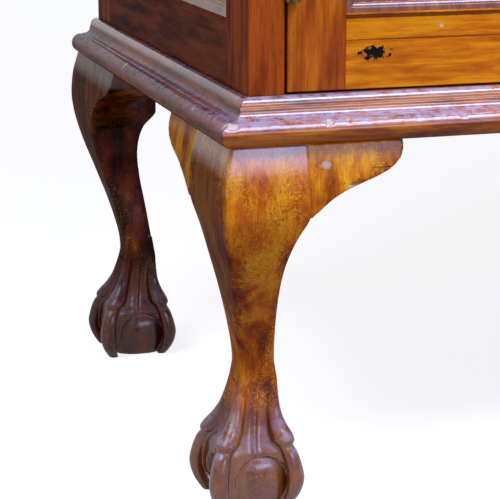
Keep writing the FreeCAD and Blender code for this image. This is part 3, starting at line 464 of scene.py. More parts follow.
@dataclass(frozen=True)
class PolishedMahogany:
    """Old mahogany under French polish: streaked amber to red-brown below a deep, slightly uneven gloss.

    Deep, body and flame are the colours of the wood from its dark bands to its light ones, and figure is the
    size of the bands. Worn is how far the arrises have gone pale, and painted sheen how strongly a pale blue
    reflection of the light from above is painted on faces that look up.
    """

    name: str
    grain: Grain
    deep: str
    body: str
    flame: str
    lightness: float
    figure: float
    drawn: float = 6.0
    speckle: float = 0.0
    roughness: float = 0.3
    polish: float = 0.12
    index: float = 1.5
    softness: float = 0.13
    shines: tuple[Shine, ...] = ()
    painted_sheen: float = 0.0
    wear: Wear = Wear.ARRIS
    pale: str = "#CDB59C"
    worn: float = 0.5
    marks: tuple[Mark, ...] = ()
    gilt: str = "#EDB428"
    # Colour of the painted sheen, a pale blue reflection of the light from above
    painted_sheen_colour: str = "#B2A9BC"
    body_limits: Pair = (-0.26, 0.08)
    flame_limits: Pair = (-0.04, 0.24)
    uneven: Pair = (-0.1, 0.16)
    bare_roughness: float = 0.3
    mark_limits: Pair = (1.1, 0.8)
    upward_limits: Pair = (0.12, 0.85)
    arris_width: float = 1.1
    arris_limits: Pair = (0.97, 0.82)
    bare_limits: Pair = (0.84, 0.92)

    def material(self) -> Material:
        """Builds the material."""
        material, tree, place = new_material(self.name)
        links = {"Vector": place, "Scale": (1 / MM,) * 3}
        plain = output(tree, "ShaderNodeMapping", links)
        along = output(tree, "ShaderNodeMapping", {**links, "Rotation": self.grain.value})
        colour = self._marked(tree, plain, self._figure(tree, along))
        # Painted sheen: a pale blue reflection of the light from above, mixed into the colour where faces
        # look up
        if self.painted_sheen:
            colour = mix(tree, self._painted_sheen_share(tree, plain), colour, self.painted_sheen_colour)
        worn = self._worn(tree, plain)
        cloud = texture(tree, plain, 17.0, 4.0).outputs[0]
        rough = spread(tree, cloud, *(self.roughness + limit for limit in self.uneven))
        links = {
            "Base Color": mix(tree, worn, colour, self.pale),
            "Roughness": calc(tree, "MULTIPLY_ADD", worn, self.bare_roughness, rough),
            "Normal": self._relief(tree, plain, along),
            "IOR": 1.52,
            "Specular IOR Level": 0.0,
            "Coat Weight": self._polish(tree, plain),
            "Coat Roughness": self.softness,
            "Coat IOR": self.index,
        }
        return covered(material, tree, output(tree, "ShaderNodeBsdfPrincipled", links))

    def _figure(self, tree: Tree, along: Socket) -> Socket:
        """Colour of the wood: broad bands, cloudy stain, fine streaks, pores and flaked polish."""
        bands = patches(tree, along, 12.0, self.figure)
        cloud = patches(tree, along, self.drawn, self.figure * 0.5, 6.0)
        tone = calc(tree, "ADD", bands, cloud)
        middle = 1.0 + (0.5 - self.lightness) * 0.5
        light = between(tree, tone, *(middle + limit for limit in self.body_limits))
        lighter = between(tree, tone, *(middle + limit for limit in self.flame_limits))
        colour = mix(tree, lighter, mix(tree, light, self.deep, self.body), self.flame)
        for layer in (STREAKS, PORES):
            colour = mix(tree, layer.share(tree, along), colour, self.deep)
        if self.speckle:
            flakes = calc(tree, "MULTIPLY", FLAKES.share(tree, along), FLAKED_PARTS.share(tree, along))
            colour = mix(tree, calc(tree, "MULTIPLY", flakes, self.speckle), colour, self.gilt)
        return colour

    def _marked(self, tree: Tree, plain: Socket, colour: Socket) -> Socket:
        """Colour with the marks laid over it: stains, blisters, and patches of painted shade and painted
        highlight.
        """
        for mark in self.marks:
            ragged = vector(tree, "SUBTRACT", texture(tree, plain, 3.2, 4.0).outputs[1], (0.5,) * 3)
            away = vector(tree, "DIVIDE", vector(tree, "SUBTRACT", plain, mark.centre), mark.size)
            away = vector(tree, "MULTIPLY_ADD", ragged, (4 * mark.ragged,) * 3, away)
            share = between(tree, vector(tree, "LENGTH", away), *self.mark_limits)
            colour = mix(tree, calc(tree, "MULTIPLY", share, mark.cover), colour, mark.colour)
        return colour

    def _painted_sheen_share(self, tree: Tree, plain: Socket) -> Socket:
        """Share of the painted sheen: a pale blue reflection of the light from above, painted on faces that
        look up.
        """
        normal = add(tree, "ShaderNodeNewGeometry").outputs["Normal"]
        up = add(tree, "ShaderNodeSeparateXYZ", {0: normal}).outputs[2]
        up = between(tree, up, *self.upward_limits)
        return calc(tree, "MULTIPLY", calc(tree, "MULTIPLY", up, SHEEN_PATCHES.share(tree, plain)), self.painted_sheen)

    def _worn(self, tree: Tree, plain: Socket) -> Socket:
        """Share of pale wear: broken lines along the arrises, or along the crests of carving."""
        if self.wear is Wear.ARRIS:
            soft = output(tree, "ShaderNodeBevel", {"Radius": self.arris_width * MM}, samples=4)
            hard = add(tree, "ShaderNodeNewGeometry").outputs["Normal"]
            crest = between(tree, vector(tree, "DOT_PRODUCT", soft, hard), *self.arris_limits)
        else:
            crest = add(tree, "ShaderNodeAttribute", attribute_name="crest").outputs["Fac"]
        bare = calc(tree, "MULTIPLY_ADD", crest, 0.5 * self.worn, patches(tree, plain, 1.0, 3.4, 6.0))
        return between(tree, bare, *self.bare_limits)

    def _polish(self, tree: Tree, plain: Socket) -> float | Socket:
        """Strength of the polish, which is deeper at some heights."""
        polish = self.polish
        height = add(tree, "ShaderNodeSeparateXYZ", {0: plain}).outputs[2]
        for shine in self.shines:
            away = calc(tree, "ABSOLUTE", calc(tree, "SUBTRACT", height, shine.height))
            here = calc(tree, "MULTIPLY", between(tree, away, shine.reach, 0.3 * shine.reach), shine.polish)
            polish = calc(tree, "MAXIMUM", polish, here)
        return polish

    def _relief(self, tree: Tree, plain: Socket, along: Socket) -> Socket:
        """Relief of the open grain under the polish, with the slow waves of a hand-rubbed surface."""
        fine = bump(tree, patches(tree, along, 22.0, 1.2), 0.2, 0.12)
        return bump(tree, patches(tree, plain, 1.0, 6.0), 0.5, 0.5, Normal=fine)


@dataclass(frozen=True)
class OldMetal:
    """Metal fittings that have dulled with age: cloudy tarnish over a soft shine."""

    name: str
    bright: str
    tarnish: str
    roughness: float
    cloud_size: float = 4.0
    scratch_size: float = 0.7

    def material(self) -> Material:
        """Builds the material."""
        material, tree, place = new_material(self.name)
        cloud = texture(tree, place, self.cloud_size * MM, 6.0, Roughness=0.65).outputs[0]
        scratches = texture(tree, place, self.scratch_size * MM, 3.0).outputs[0]
        links = {
            "Base Color": mix(tree, cloud, self.bright, self.tarnish),
            "Roughness": spread(tree, cloud, self.roughness - 0.12, self.roughness + 0.2),
            "Metallic": 1.0,
            "Normal": bump(tree, scratches, 0.3, 0.05),
        }
        return covered(material, tree, output(tree, "ShaderNodeBsdfPrincipled", links))


@dataclass(frozen=True)
class WindowGlass:
    """Old drawn window glass: clear, very slightly wavy, and it lets the light through to the shelves."""

    name: str = "drawn_glass"
    tint: str = "#F4F8F5"
    wave_size: float = 60.0

    def material(self) -> Material:
        """Builds the material."""
        material, tree, place = new_material(self.name)
        waves = texture(tree, place, self.wave_size * MM, 1.0).outputs[0]
        tint = linear(self.tint)
        links = {"Base Color": tint, "Roughness": 0.02, "IOR": 1.5, "Transmission Weight": 1.0}
        links["Normal"] = bump(tree, waves, 0.2, 0.4)
        shader = output(tree, "ShaderNodeBsdfPrincipled", links)
        clear = output(tree, "ShaderNodeBsdfTransparent", {"Color": tint})
        shadow = add(tree, "ShaderNodeLightPath").outputs["Is Shadow Ray"]
        return covered(material, tree, output(tree, "ShaderNodeMixShader", {0: shadow, 1: shader, 2: clear}))


# Carving


@dataclass
class CarvedLeg:
    """Cabriole leg with a claw and ball foot, and its two ears, carved once and mirrored to four corners.

    The post's edges are measured from the corner of the carcase, at shares of its height over the ankle. The
    claws have rows of heights, their middle's distance from the foot's axis, and half thickness and width.
    """

    ankle: float = 90.0
    foot: Pair = (14.0, 52.2)
    ankle_middle: Pair = (20.0, 54.4)
    post_bottom: float = 72.0
    post_steps: int = 66
    post_sink: float = 0.4
    tenon_middle: Pair = (18.0, 28.0)
    tenon_size: float = 20.0
    tenon_corner: float = 1.0
    tenon_heights: Pair = (LEG_TOP - 10, LEG_TOP + 20)
    ball_radius: float = 26.5
    ball_reach: Pair = (31.2, 27.0)
    ball_top: float = 44.5
    ball_shift: float = 4.8
    ball_power: float = 2.2
    ball_fullness: float = 0.65
    ball_cap: float = 88.0
    arch_radii: Pair = (16.5, 20.2)
    arch_height: float = 18.2
    arch_length: float = 90.0
    claw_power: float = 2.8
    claw_ridge: float = 0.14
    ridge_power: int = 8
    web_bottom: float = 6.0
    web_corner: float = 1.38
    web_hollow: float = 0.11
    vein: Pair = (2.0, 1.8)
    vein_drop: float = 6.0
    pitch: float = 2.0
    voxel: float = 0.9
    crest_limits: Pair = (0.08, 0.16)
    shares: Row = (0.0, 0.1, 0.244, 0.4, 0.533, 0.644, 0.733, 0.79, 0.89, 1.0)
    side_out: Row = (5.6, 5.2, 0.1, -7.9, -15.2, -20.2, -22.4, -22.7, -21.3, -16.5)
    side_in: Row = (34.4, 32.1, 28.6, 24.9, 24.2, 28.8, 36.5, 36.5, 36.5, 36.5)
    front_out: Row = (40.2, 36.6, 24.6, 6.6, -8.8, -18.5, -23.3, -23.6, -20.5, -15.0)
    front_in: Row = (68.6, 65.4, 59.3, 51.0, 47.2, 50.8, 68.0, 68.0, 68.0, 68.0)
    corners: Row = (9.0, 8.0, 6.0, 4.5, 3.5, 3.0, 2.5, 2.2, 2.0, 1.5)
    claws: tuple[Row, ...] = (
        (0.0, 7.0, 14.0, 22.0, 30.0, 37.0, 42.5, 45.5, 48.5, 53.0, 60.0, 68.0, 79.0, 92.0, 106.0),
        (31.5, 36.4, 39.2, 40.2, 38.6, 36.4, 33.8, 31.0, 29.2, 26.6, 22.2, 18.8, 16.4, 14.6, 12.6),
        (3.4, 4.2, 4.8, 5.2, 5.2, 5.1, 5.0, 5.0, 7.6, 7.6, 6.4, 5.2, 4.3, 3.6, 3.0),
        (4.4, 5.8, 6.8, 7.4, 7.0, 6.4, 6.0, 6.0, 8.4, 8.0, 6.4, 5.0, 3.9, 3.2, 2.6),
    )
    web_heights: Row = (4.0, 20.0, 38.0, 47.0, 55.0, 66.0, 80.0, 98.0)
    web_halves: Row = (20.0, 25.4, 24.8, 21.0, 17.4, 14.2, 12.0, 11.5)
    ear_lengths: Pair = (66.0, 71.0)
    ear_depth: float = 45.0
    ear_level: float = 232.0
    ear_drop: int = 60
    ear_ends: Pair = (-1.5, 80.0)
    ear_outs: Row = (66.0, 65.6, 62.2, 55.0, 44.0, 31.0, 19.0, 9.5, 3.4, -1.0)
    ear_drops: Row = (0.0, 7.0, 13.5, 19.4, 24.2, 28.8, 34.0, 40.4, 45.6, 49.4)
    ear_root: Pair = (-3.0, 1.6)
    scroll_ends: Pair = (-60.0, 90.0)

    def edge(self, values: Row, height: float) -> float:
        """Reads one edge of the post at a height."""
        return eased(self.shares, values, (height - self.ankle) / (LEG_TOP - self.ankle))

    def axis(self, height: float) -> Pair:
        """Middle of the foot at a height, in the cabinet's own place."""
        share = min(max((height - self.ball_top) / (self.ankle - self.ball_top), 0), 1)
        x, y = (low + (high - low) * share for low, high in zip(self.foot, self.ankle_middle))
        return x - HALF_WIDTH, y + FRONT

    def post(self) -> Rings:
        """Post from inside the ankle to the top."""
        rings = []
        for index in range(self.post_steps + 1):
            height = self.post_bottom + (LEG_TOP - self.post_bottom) * index / self.post_steps
            sunk = max(0.0, self.ankle - height) * self.post_sink
            side_in = min(self.edge(self.side_in, height), self.side_in[-1]) - sunk
            front_in = min(self.edge(self.front_in, height), self.front_in[-1]) - sunk
            side_out = self.edge(self.side_out, height) + sunk
            low = (side_out - HALF_WIDTH, self.edge(self.front_out, height) + sunk + FRONT)
            high = (side_in - HALF_WIDTH, front_in + FRONT)
            rings.append(rounded_rectangle(low, high, self.edge(self.corners, height), height))
        return rings

    def tenon(self) -> Rings:
        """Square tenon that goes up into the base frame."""
        x, y = (middle - self.tenon_size / 2 for middle in self.tenon_middle)
        low = (x - HALF_WIDTH, y + FRONT)
        high = (low[0] + self.tenon_size, low[1] + self.tenon_size)
        return [rounded_rectangle(low, high, self.tenon_corner, height) for height in self.tenon_heights]

    def claw(self, turn: float, rings: int = 55, sides: int = 28) -> Rings:
        """One claw with two knuckles, a nail, and a tendon that runs up into the ankle."""
        out = Vector((math.cos(turn), math.sin(turn), 0))
        across = Vector((-math.sin(turn), math.cos(turn), 0))
        stations, *columns = self.claws
        lines = []
        for index in range(rings):
            height = self.pitch * index
            middle, depth, width = (eased(stations, column, height) for column in columns)
            centre = Vector((*self.axis(height), height)) + out * middle
            line = []
            for angle in turns(sides):
                ridge = 1 + self.claw_ridge * max(math.cos(angle), 0) ** self.ridge_power
                reach = depth * math.cos(angle) * squared(angle, self.claw_power) * ridge
                line.append((centre + out * reach + across * width * math.sin(angle)) * MM)
            lines.append(line)
        return lines

    def ball(self, rings: int = 24, sides: int = 48) -> Rings:
        """The ball, a little flattened where it shows between the claws."""
        x, y = self.axis(0)
        first, last = math.asin(1 - self.ball_top / self.ball_radius), math.radians(self.ball_cap)
        lines = []
        for index in range(rings + 1):
            rise = first + (last - first) * index / rings
            height = self.ball_top + self.ball_radius * (math.sin(rise) - 1)
            line = []
            for turn in turns(sides):
                reach = math.cos(rise) ** self.ball_fullness * squared(turn, self.ball_power)
                wide, deep = (part * reach for part in self.ball_reach)
                at = (x + self.ball_shift + wide * math.cos(turn), y + deep * math.sin(turn), height)
                line.append(Vector(at) * MM)
            lines.append(line)
        return lines

    def web(self, rings: int = 47, sides: int = 120) -> Piece:
        """Web between the claws, with a vein down each side and an arch over the ball."""
        lines = []
        vein_height, vein_width = self.vein
        for index in range(rings):
            height = self.web_bottom + self.pitch * index
            half = eased(self.web_heights, self.web_halves, height)
            x, y = self.axis(height)
            line = []
            for turn in turns(sides):
                square = 1 / max(abs(math.cos(turn)), abs(math.sin(turn)))
                reach = half * min(square, self.web_corner) * (1 - self.web_hollow * math.cos(2 * turn) ** 2)
                if height > self.ball_top - self.vein_drop:
                    aside = (turn + math.pi / 4) % (math.pi / 2) - math.pi / 4
                    reach += vein_height * math.exp(-((aside * half / vein_width) ** 2))
                line.append(Vector((x + reach * math.cos(turn), y + reach * math.sin(turn), height)) * MM)
            lines.append(line)
        web = lofted("web", lines)
        x, y = self.axis(0)
        place = Matrix.Translation(Vector((x + self.ball_shift, y, self.arch_height)) * MM)
        for axis, reach in zip(((1, 0, 0), (0, 1, 0)), self.arch_radii):
            form = bmesh.new()
            turned = place @ Vector((0, 0, 1)).rotation_difference(Vector(axis)).to_matrix().to_4x4()
            reach *= MM
            sizes = {"radius1": reach, "radius2": reach, "depth": self.arch_length * MM, "segments": 64}
            bmesh.ops.create_cone(form, cap_ends=True, matrix=turned, **sizes)
            cut(web, finish_mesh(form, "arch"))
        return web

    def carve(self, piece: Piece, rounds: int) -> Piece:
        """Joins overlapping solids into one skin, softens it, and notes its crests for the finish.

        Args:
            piece: Object of overlapping closed solids.
            rounds: How many times the skin is smoothed.

        Returns:
            The same object with its skin as its mesh.
        """
        remesh = piece.modifiers.new("skin", "REMESH")
        remesh.mode, remesh.voxel_size, remesh.adaptivity = "VOXEL", self.voxel * MM, 0.0
        mesh = baked(piece).data
        points = read(mesh.vertices, "co", 3)
        edges = read(mesh.edges, "vertices", 2, np.int64)
        degree = np.bincount(edges.ravel(), minlength=len(points))[:, None]

        def smoothed(values: np.ndarray, times: int) -> np.ndarray:
            for _ in range(times):
                total = np.zeros_like(values)
                np.add.at(total, edges[:, 0], values[edges[:, 1]])
                np.add.at(total, edges[:, 1], values[edges[:, 0]])
                values = 0.5 * values + 0.5 * total / degree
            return values

        points = smoothed(points, rounds)
        mesh.vertices.foreach_set("co", points.ravel())
        mesh.update()
        rise = ((points - smoothed(points, 6)) * read(mesh.vertices, "normal", 3)).sum(axis=1) / MM
        least, span = self.crest_limits
        share = np.clip((smoothed(rise[:, None], 2)[:, 0] - least) / span, 0, 1)
        mesh.attributes.new("crest", "FLOAT", "POINT").data.foreach_set("value", share)
        shade(mesh, True)
        return piece

    def leg(self) -> Piece:
        """The front left leg."""
        form = bmesh.new()
        claws = [self.claw(math.radians(turn)) for turn in (45, 135, 225, 315)]
        for rings in (self.post(), self.tenon(), self.ball(), *claws):
            loft(form, rings)
        return self.carve(joined("carved_leg_front_left", [self.web()], form), 2)

    def ear(self, side: int, steps: int = 40) -> Piece:
        """One ear of the front left leg, 0 at the front and 1 at the side.

        The knee's own curve runs on along the ear, and the scroll is cut across it.
        """
        start, face, edge = (
            (self.side_in[-1] - HALF_WIDTH, FRONT, self.front_out),
            (self.front_in[-1] + FRONT, -HALF_WIDTH, self.side_out),
        )[side]

        def point(out: float, depth: float, height: float) -> Vector:
            level = (start + out, face + depth)
            return Vector((*(level if side == 0 else level[::-1]), height)) * MM

        heights = [LEG_TOP - self.ear_drop + index for index in range(0, self.ear_drop + 1, 2)]
        inner = self.edge(edge, self.ear_level) + self.ear_depth
        section = [(self.edge(edge, height), height) for height in heights]
        section += [(inner, heights[-1]), (inner, heights[0])]
        body = lofted("ear_body", [[point(out, *place) for place in section] for out in self.ear_ends])
        order = list(range(len(self.ear_outs)))
        stretch = self.ear_lengths[side] / self.ear_outs[0]
        scroll = []
        for index in range(steps + 1):
            step = index / steps * order[-1]
            low = LEG_TOP - eased(order, self.ear_drops, step)
            scroll.append((eased(order, self.ear_outs, step) * stretch, low))
        lap, below = self.ear_root
        scroll += [(lap, low - below), (lap, LEG_TOP)]
        rings = [[point(out, depth, height) for out, height in scroll] for depth in self.scroll_ends]
        return cut(body, lofted("scroll", rings), "INTERSECT")

    def ears(self) -> Piece:
        """Both ears of the front left leg as one object."""
        return self.carve(joined("carved_ears_front_left", [self.ear(0), self.ear(1)]), 1)

    def build(self, made: dict[str, Material]) -> None:
        """Carves the front left corner, mirrors it to the others and puts all four in place."""
        leg, ears = self.leg(), self.ears()
        for kind, carved, finish in (("leg", leg, "polished_leg"), ("ears", ears, "polished_ear")):
            copies = {"front_left": carved}
            for corner, source, axis, place in (
                ("front_right", "front_left", 0, 0),
                ("back_left", "front_left", 1, MID_DEPTH),
                ("back_right", "back_left", 0, 0),
            ):
                copies[corner] = mirrored(copies[source], f"carved_{kind}_{corner}", axis, place)
            for corner, copy in copies.items():
                keep_inside(copy, f"{kind}_{corner}")
                # Back corners take a darker copy of the leg finish: painted shade for the shadow of the
                # cabinet over them
                worn = made["rear_leg_painted_shade" if "back" in corner else finish]
                stand_in(copy, f"{kind}_{corner}", "cabinet", worn)


# Mouldings


@dataclass(frozen=True)
class Chip:
    """Piece broken off the nose of the moulding: place along it, length and depth."""

    along: float
    length: float
    depth: float


@dataclass
class BaseMoulding:
    """Base moulding: a rounded edge, a small step, a cove and a half-round nose, mitred at the front."""

    fillet_out: float = 7.5
    fillet_radius: float = 5.5
    step: float = 0.7
    cove_drop: float = 13.4
    cove_sag: float = 2.6
    cove_lean: Pair = (-0.75, -0.62)
    quirk_bottom: Pair = (-1.1, -0.9)
    quirk_top: Pair = (-1.6, 0.3)
    projection: float = 25.2
    height: float = 30.0
    pitch: float = 1.2
    arris: float = 15.5
    chip_level: float = 14.6
    chip_reach: float = 3.0
    chip_slant: Pair = (0.8, 0.45)
    rubbed: float = 0.3
    front_chips: tuple[Chip, ...] = (
        Chip(-523.0, 6.0, 0.8),
        Chip(-457.0, 3.4, 0.8),
        Chip(-444.0, 2.2, 0.6),
        Chip(-438.0, 1.4, 0.4),
        Chip(-395.0, 2.6, 0.5),
        Chip(-363.0, 2.6, 0.6),
        Chip(120.0, 3.5, 0.6),
        Chip(402.0, 4.5, 0.7),
    )
    side_chips: tuple[Chip, ...] = (Chip(-247.0, 3.0, 0.9), Chip(-172.0, 4.0, 0.7), Chip(40.0, 4.0, 0.8))

    def profile(self) -> list[Pair]:
        """Section from the wall at the bottom round to the wall at the top, as reach and height."""
        nose = (self.height - self.cove_drop) / 2
        middle = self.projection - nose
        shoulder = Vector((middle, 2 * nose))
        quirk = tuple(shoulder + Vector(self.quirk_bottom))
        points = [(0.0, 0.0), *arc(middle, nose, nose, -90, 90, 16), quirk]
        radius, bottom = self.fillet_radius, self.height - self.fillet_radius
        start = shoulder + Vector(self.quirk_top)
        end = Vector((self.fillet_out + self.step, bottom - 2 * self.step))
        for index in range(13):
            share = index / 12
            sag = 4 * share * (1 - share) * self.cove_sag
            points.append(tuple(start.lerp(end, share) + Vector(self.cove_lean) * sag))
        points.append((self.fillet_out, bottom - self.step))
        return points + arc(self.fillet_out - radius, bottom, radius, 0, 90, 8) + [(0.0, self.height)]

    def run(self, name: str, at_side: bool, chips: tuple[Chip, ...]) -> Piece:
        """Runs one length of the moulding.

        Args:
            name: Name of the piece.
            at_side: Whether it runs back along the left side, not across the front.
            chips: Pieces broken off it.

        Returns:
            The piece.
        """
        profile = self.profile()
        count = round((BACK - FRONT if at_side else 2 * HALF_WIDTH) / self.pitch)
        form = bmesh.new()
        crest = form.verts.layers.float.new("crest")
        lines = []
        for index in range(count + 1):
            line = []
            for reach, height in profile:
                first = (FRONT if at_side else -HALF_WIDTH) - reach
                last = BACK if at_side else HALF_WIDTH + reach
                along = first + (last - first) * index / count
                (out, along, height), bare = self.chipped(reach, along, height, chips)
                x, y = (-HALF_WIDTH - out, along) if at_side else (along, FRONT - out)
                vertex = form.verts.new(Vector((x, y, LEG_TOP + height)) * MM)
                vertex[crest] = bare
                line.append(vertex)
            lines.append(line)
        skin(form, lines)
        form.faces.new(lines[0])
        form.faces.new(lines[-1])
        piece = finish_mesh(form, name)
        shade(piece.data, True)
        return piece

    def chipped(self, reach: float, along: float, height: float, chips: tuple[Chip, ...]):
        """Moves a point of the nose in where it is chipped or rubbed.

        Returns:
            The new reach, place along and height, and how bare the wood is there.
        """
        middle = self.projection - (self.height - self.cove_drop) / 2
        if reach < middle - 0.5 or height < 4:
            return (reach, along, height), 0.0
        rough = noise.noise(Vector((along / 4.0, height / 3.0, reach / 3.0)))
        slow = noise.noise(Vector((along / 21.0, 0.0, 3.7)))
        top = max(0.0, 1 - abs(height - self.arris) / self.chip_reach)
        depth = self.rubbed * top * max(0.0, slow + 0.8 * rough)
        for chip in chips:
            near = 1 - abs(along - chip.along) / (chip.length * (0.75 + 0.5 * rough))
            level = max(0, 1 - abs(height - self.chip_level) / self.chip_reach)
            depth = max(depth, chip.depth * min(1.0, 2.5 * max(near, 0)) * level)
        bare = max(self.rubbed * top, min(1.0, depth / 0.5))
        inwards, down = self.chip_slant
        return (reach - depth * inwards, along, height - depth * down), bare

    def build(self, finish: Material, side_finish_painted_shade: Material) -> None:
        """Runs the front length and both sides, and puts them in place."""
        front = self.run("run_moulding_front", False, self.front_chips)
        left = self.run("run_moulding_left", True, self.side_chips)
        right = mirrored(left, "run_moulding_right", 0, 0)
        for side, piece in (("front", front), ("left", left), ("right", right)):
            keep_inside(piece, f"base_moulding_{side}")
            # The side lengths take a darker copy of the moulding finish: painted shade for the sides that
            # turn away from the light
            material = finish if side == "front" else side_finish_painted_shade
            stand_in(piece, f"base_moulding_{side}", "cabinet", material)


# Joinery


@dataclass
class Joinery:
    """Boards, rails and stiles with their arrises eased, each in place of its plain solid."""

    easing: float = 0.5
    segments: int = 2
    weld: float = 0.01
    flat_within: float = math.radians(0.5)
    sharp_beyond: float = math.radians(40)

    def ease(self, node: str) -> Piece:
        """Copies one solid and eases its arrises."""
        form = bmesh.new()
        form.from_mesh(bpy.data.objects[node].data)
        bmesh.ops.remove_doubles(form, verts=form.verts, dist=self.weld * MM)
        edges = list(form.edges)
        bmesh.ops.dissolve_limit(form, angle_limit=self.flat_within, verts=form.verts, edges=edges)
        piece = finish_mesh(form, f"eased_{node}")
        bevel = piece.modifiers.new("arris", "BEVEL")
        bevel.width, bevel.segments = self.easing * MM, self.segments
        bevel.limit_method, bevel.angle_limit = "ANGLE", self.sharp_beyond
        bevel.use_clamp_overlap = True
        return baked(piece)


# Glazing bars


@dataclass
class GlazingBars:
    """Astragals of one door: a half-round between two fillets, laid on the glass as a long octagon."""

    width: float = 9.0
    depth: float = 8.4
    fillet: float = 1.2
    left: float = -438.3
    bottom: float = 351.5
    wide: float = 397.05
    tall: float = 1122.0
    bead: float = 7.0
    glass_front: float = -219.3
    row_shares: Pair = (0.27, 0.40)
    corner_share: float = 0.12
    sides: int = 32
    underside: float = -0.12

    def lines(self) -> list[tuple[float, float, float, float]]:
        """Centre lines of the sixteen bars of one door, from the corner of its opening."""
        columns = (self.wide / 4, self.wide * 3 / 4)
        inset = (self.wide * self.corner_share, self.wide * (1 - self.corner_share))
        rows, turned = ((self.tall * share, self.tall * (1 - share)) for share in self.row_shares)
        lines = [(self.bead, row, self.wide - self.bead, row) for row in rows]
        for column, corner, border in zip(columns, inset, (self.bead, self.wide - self.bead)):
            lines.append((column, self.bead, column, rows[0]))
            lines.append((column, rows[1], column, self.tall - self.bead))
            lines.append((corner, turned[0], corner, turned[1]))
            for row, turn in zip(rows, turned):
                lines.append((column, row, corner, turn))
                lines.append((border, turn, corner, turn))
        return lines

    def tree(self) -> Tree:
        """Node tree that runs the moulded section along every line."""
        tree, given = new_group("astragal", "Lines", ("Width", "Depth", "Fillet"), "Bars")
        half = calc(tree, "MULTIPLY", given["Width"], 0.5)
        round_half = calc(tree, "SUBTRACT", half, given["Fillet"])
        shoulder = calc(tree, "SUBTRACT", given["Depth"], round_half)
        links = {"Vertices": self.sides, "Radius": 1.0}
        base = output(tree, "GeometryNodeMeshCircle", links, fill_type="NONE")
        where = output(tree, "GeometryNodeInputPosition")
        x, y, _ = add(tree, "ShaderNodeSeparateXYZ", {0: where}).outputs
        front = calc(tree, "GREATER_THAN", y, 0.0)
        links = {0: front, 1: half, 2: round_half}
        wide = output(tree, "GeometryNodeSwitch", links, input_type="FLOAT")
        low = calc(tree, "MULTIPLY", calc(tree, "GREATER_THAN", y, self.underside), shoulder)
        links = {0: front, 1: low, 2: calc(tree, "MULTIPLY_ADD", y, round_half, shoulder)}
        rise = output(tree, "GeometryNodeSwitch", links, input_type="FLOAT")
        place = output(tree, "ShaderNodeCombineXYZ", {0: calc(tree, "MULTIPLY", x, wide), 1: rise})
        section = output(tree, "GeometryNodeSetPosition", {"Geometry": base, "Position": place})
        section = output(tree, "GeometryNodeMeshToCurve", {"Mesh": section})
        path = output(tree, "GeometryNodeMeshToCurve", {"Mesh": given["Lines"]})
        path = output(tree, "GeometryNodeSetCurveNormal", {"Curve": path})
        links = {"Curve": path, "Profile Curve": section, "Fill Caps": True}
        bars = output(tree, "GeometryNodeCurveToMesh", links)
        bars = output(tree, "GeometryNodeRealizeInstances", {"Geometry": bars})
        add(tree, "NodeGroupOutput", {"Bars": bars})
        return tree

    def build(self, finish: Material) -> None:
        """Makes the bars of both doors."""
        tree = self.tree()
        sizes = {"Width": self.width * MM, "Depth": self.depth * MM, "Fillet": self.fillet * MM}
        for side, door in ((-1, "left"), (1, "right")):
            corners = []
            for x_0, y_0, x_1, y_1 in self.lines():
                for x, y in ((x_0, y_0), (x_1, y_1)):
                    corners.append(Vector((-side * (self.left + x), self.glass_front, self.bottom + y)) * MM)
            edges = [(index, index + 1) for index in range(0, len(corners), 2)]
            mesh = bpy.data.meshes.new("bar_lines")
            mesh.from_pydata(corners, edges, [])
            piece = grown(new_object(f"moulded_{door}_door_lattice", mesh), tree, sizes)
            shade(piece.data, False)
            stand_in(piece, f"door_{door}_lattice", f"{door}_door", finish)


# Screws


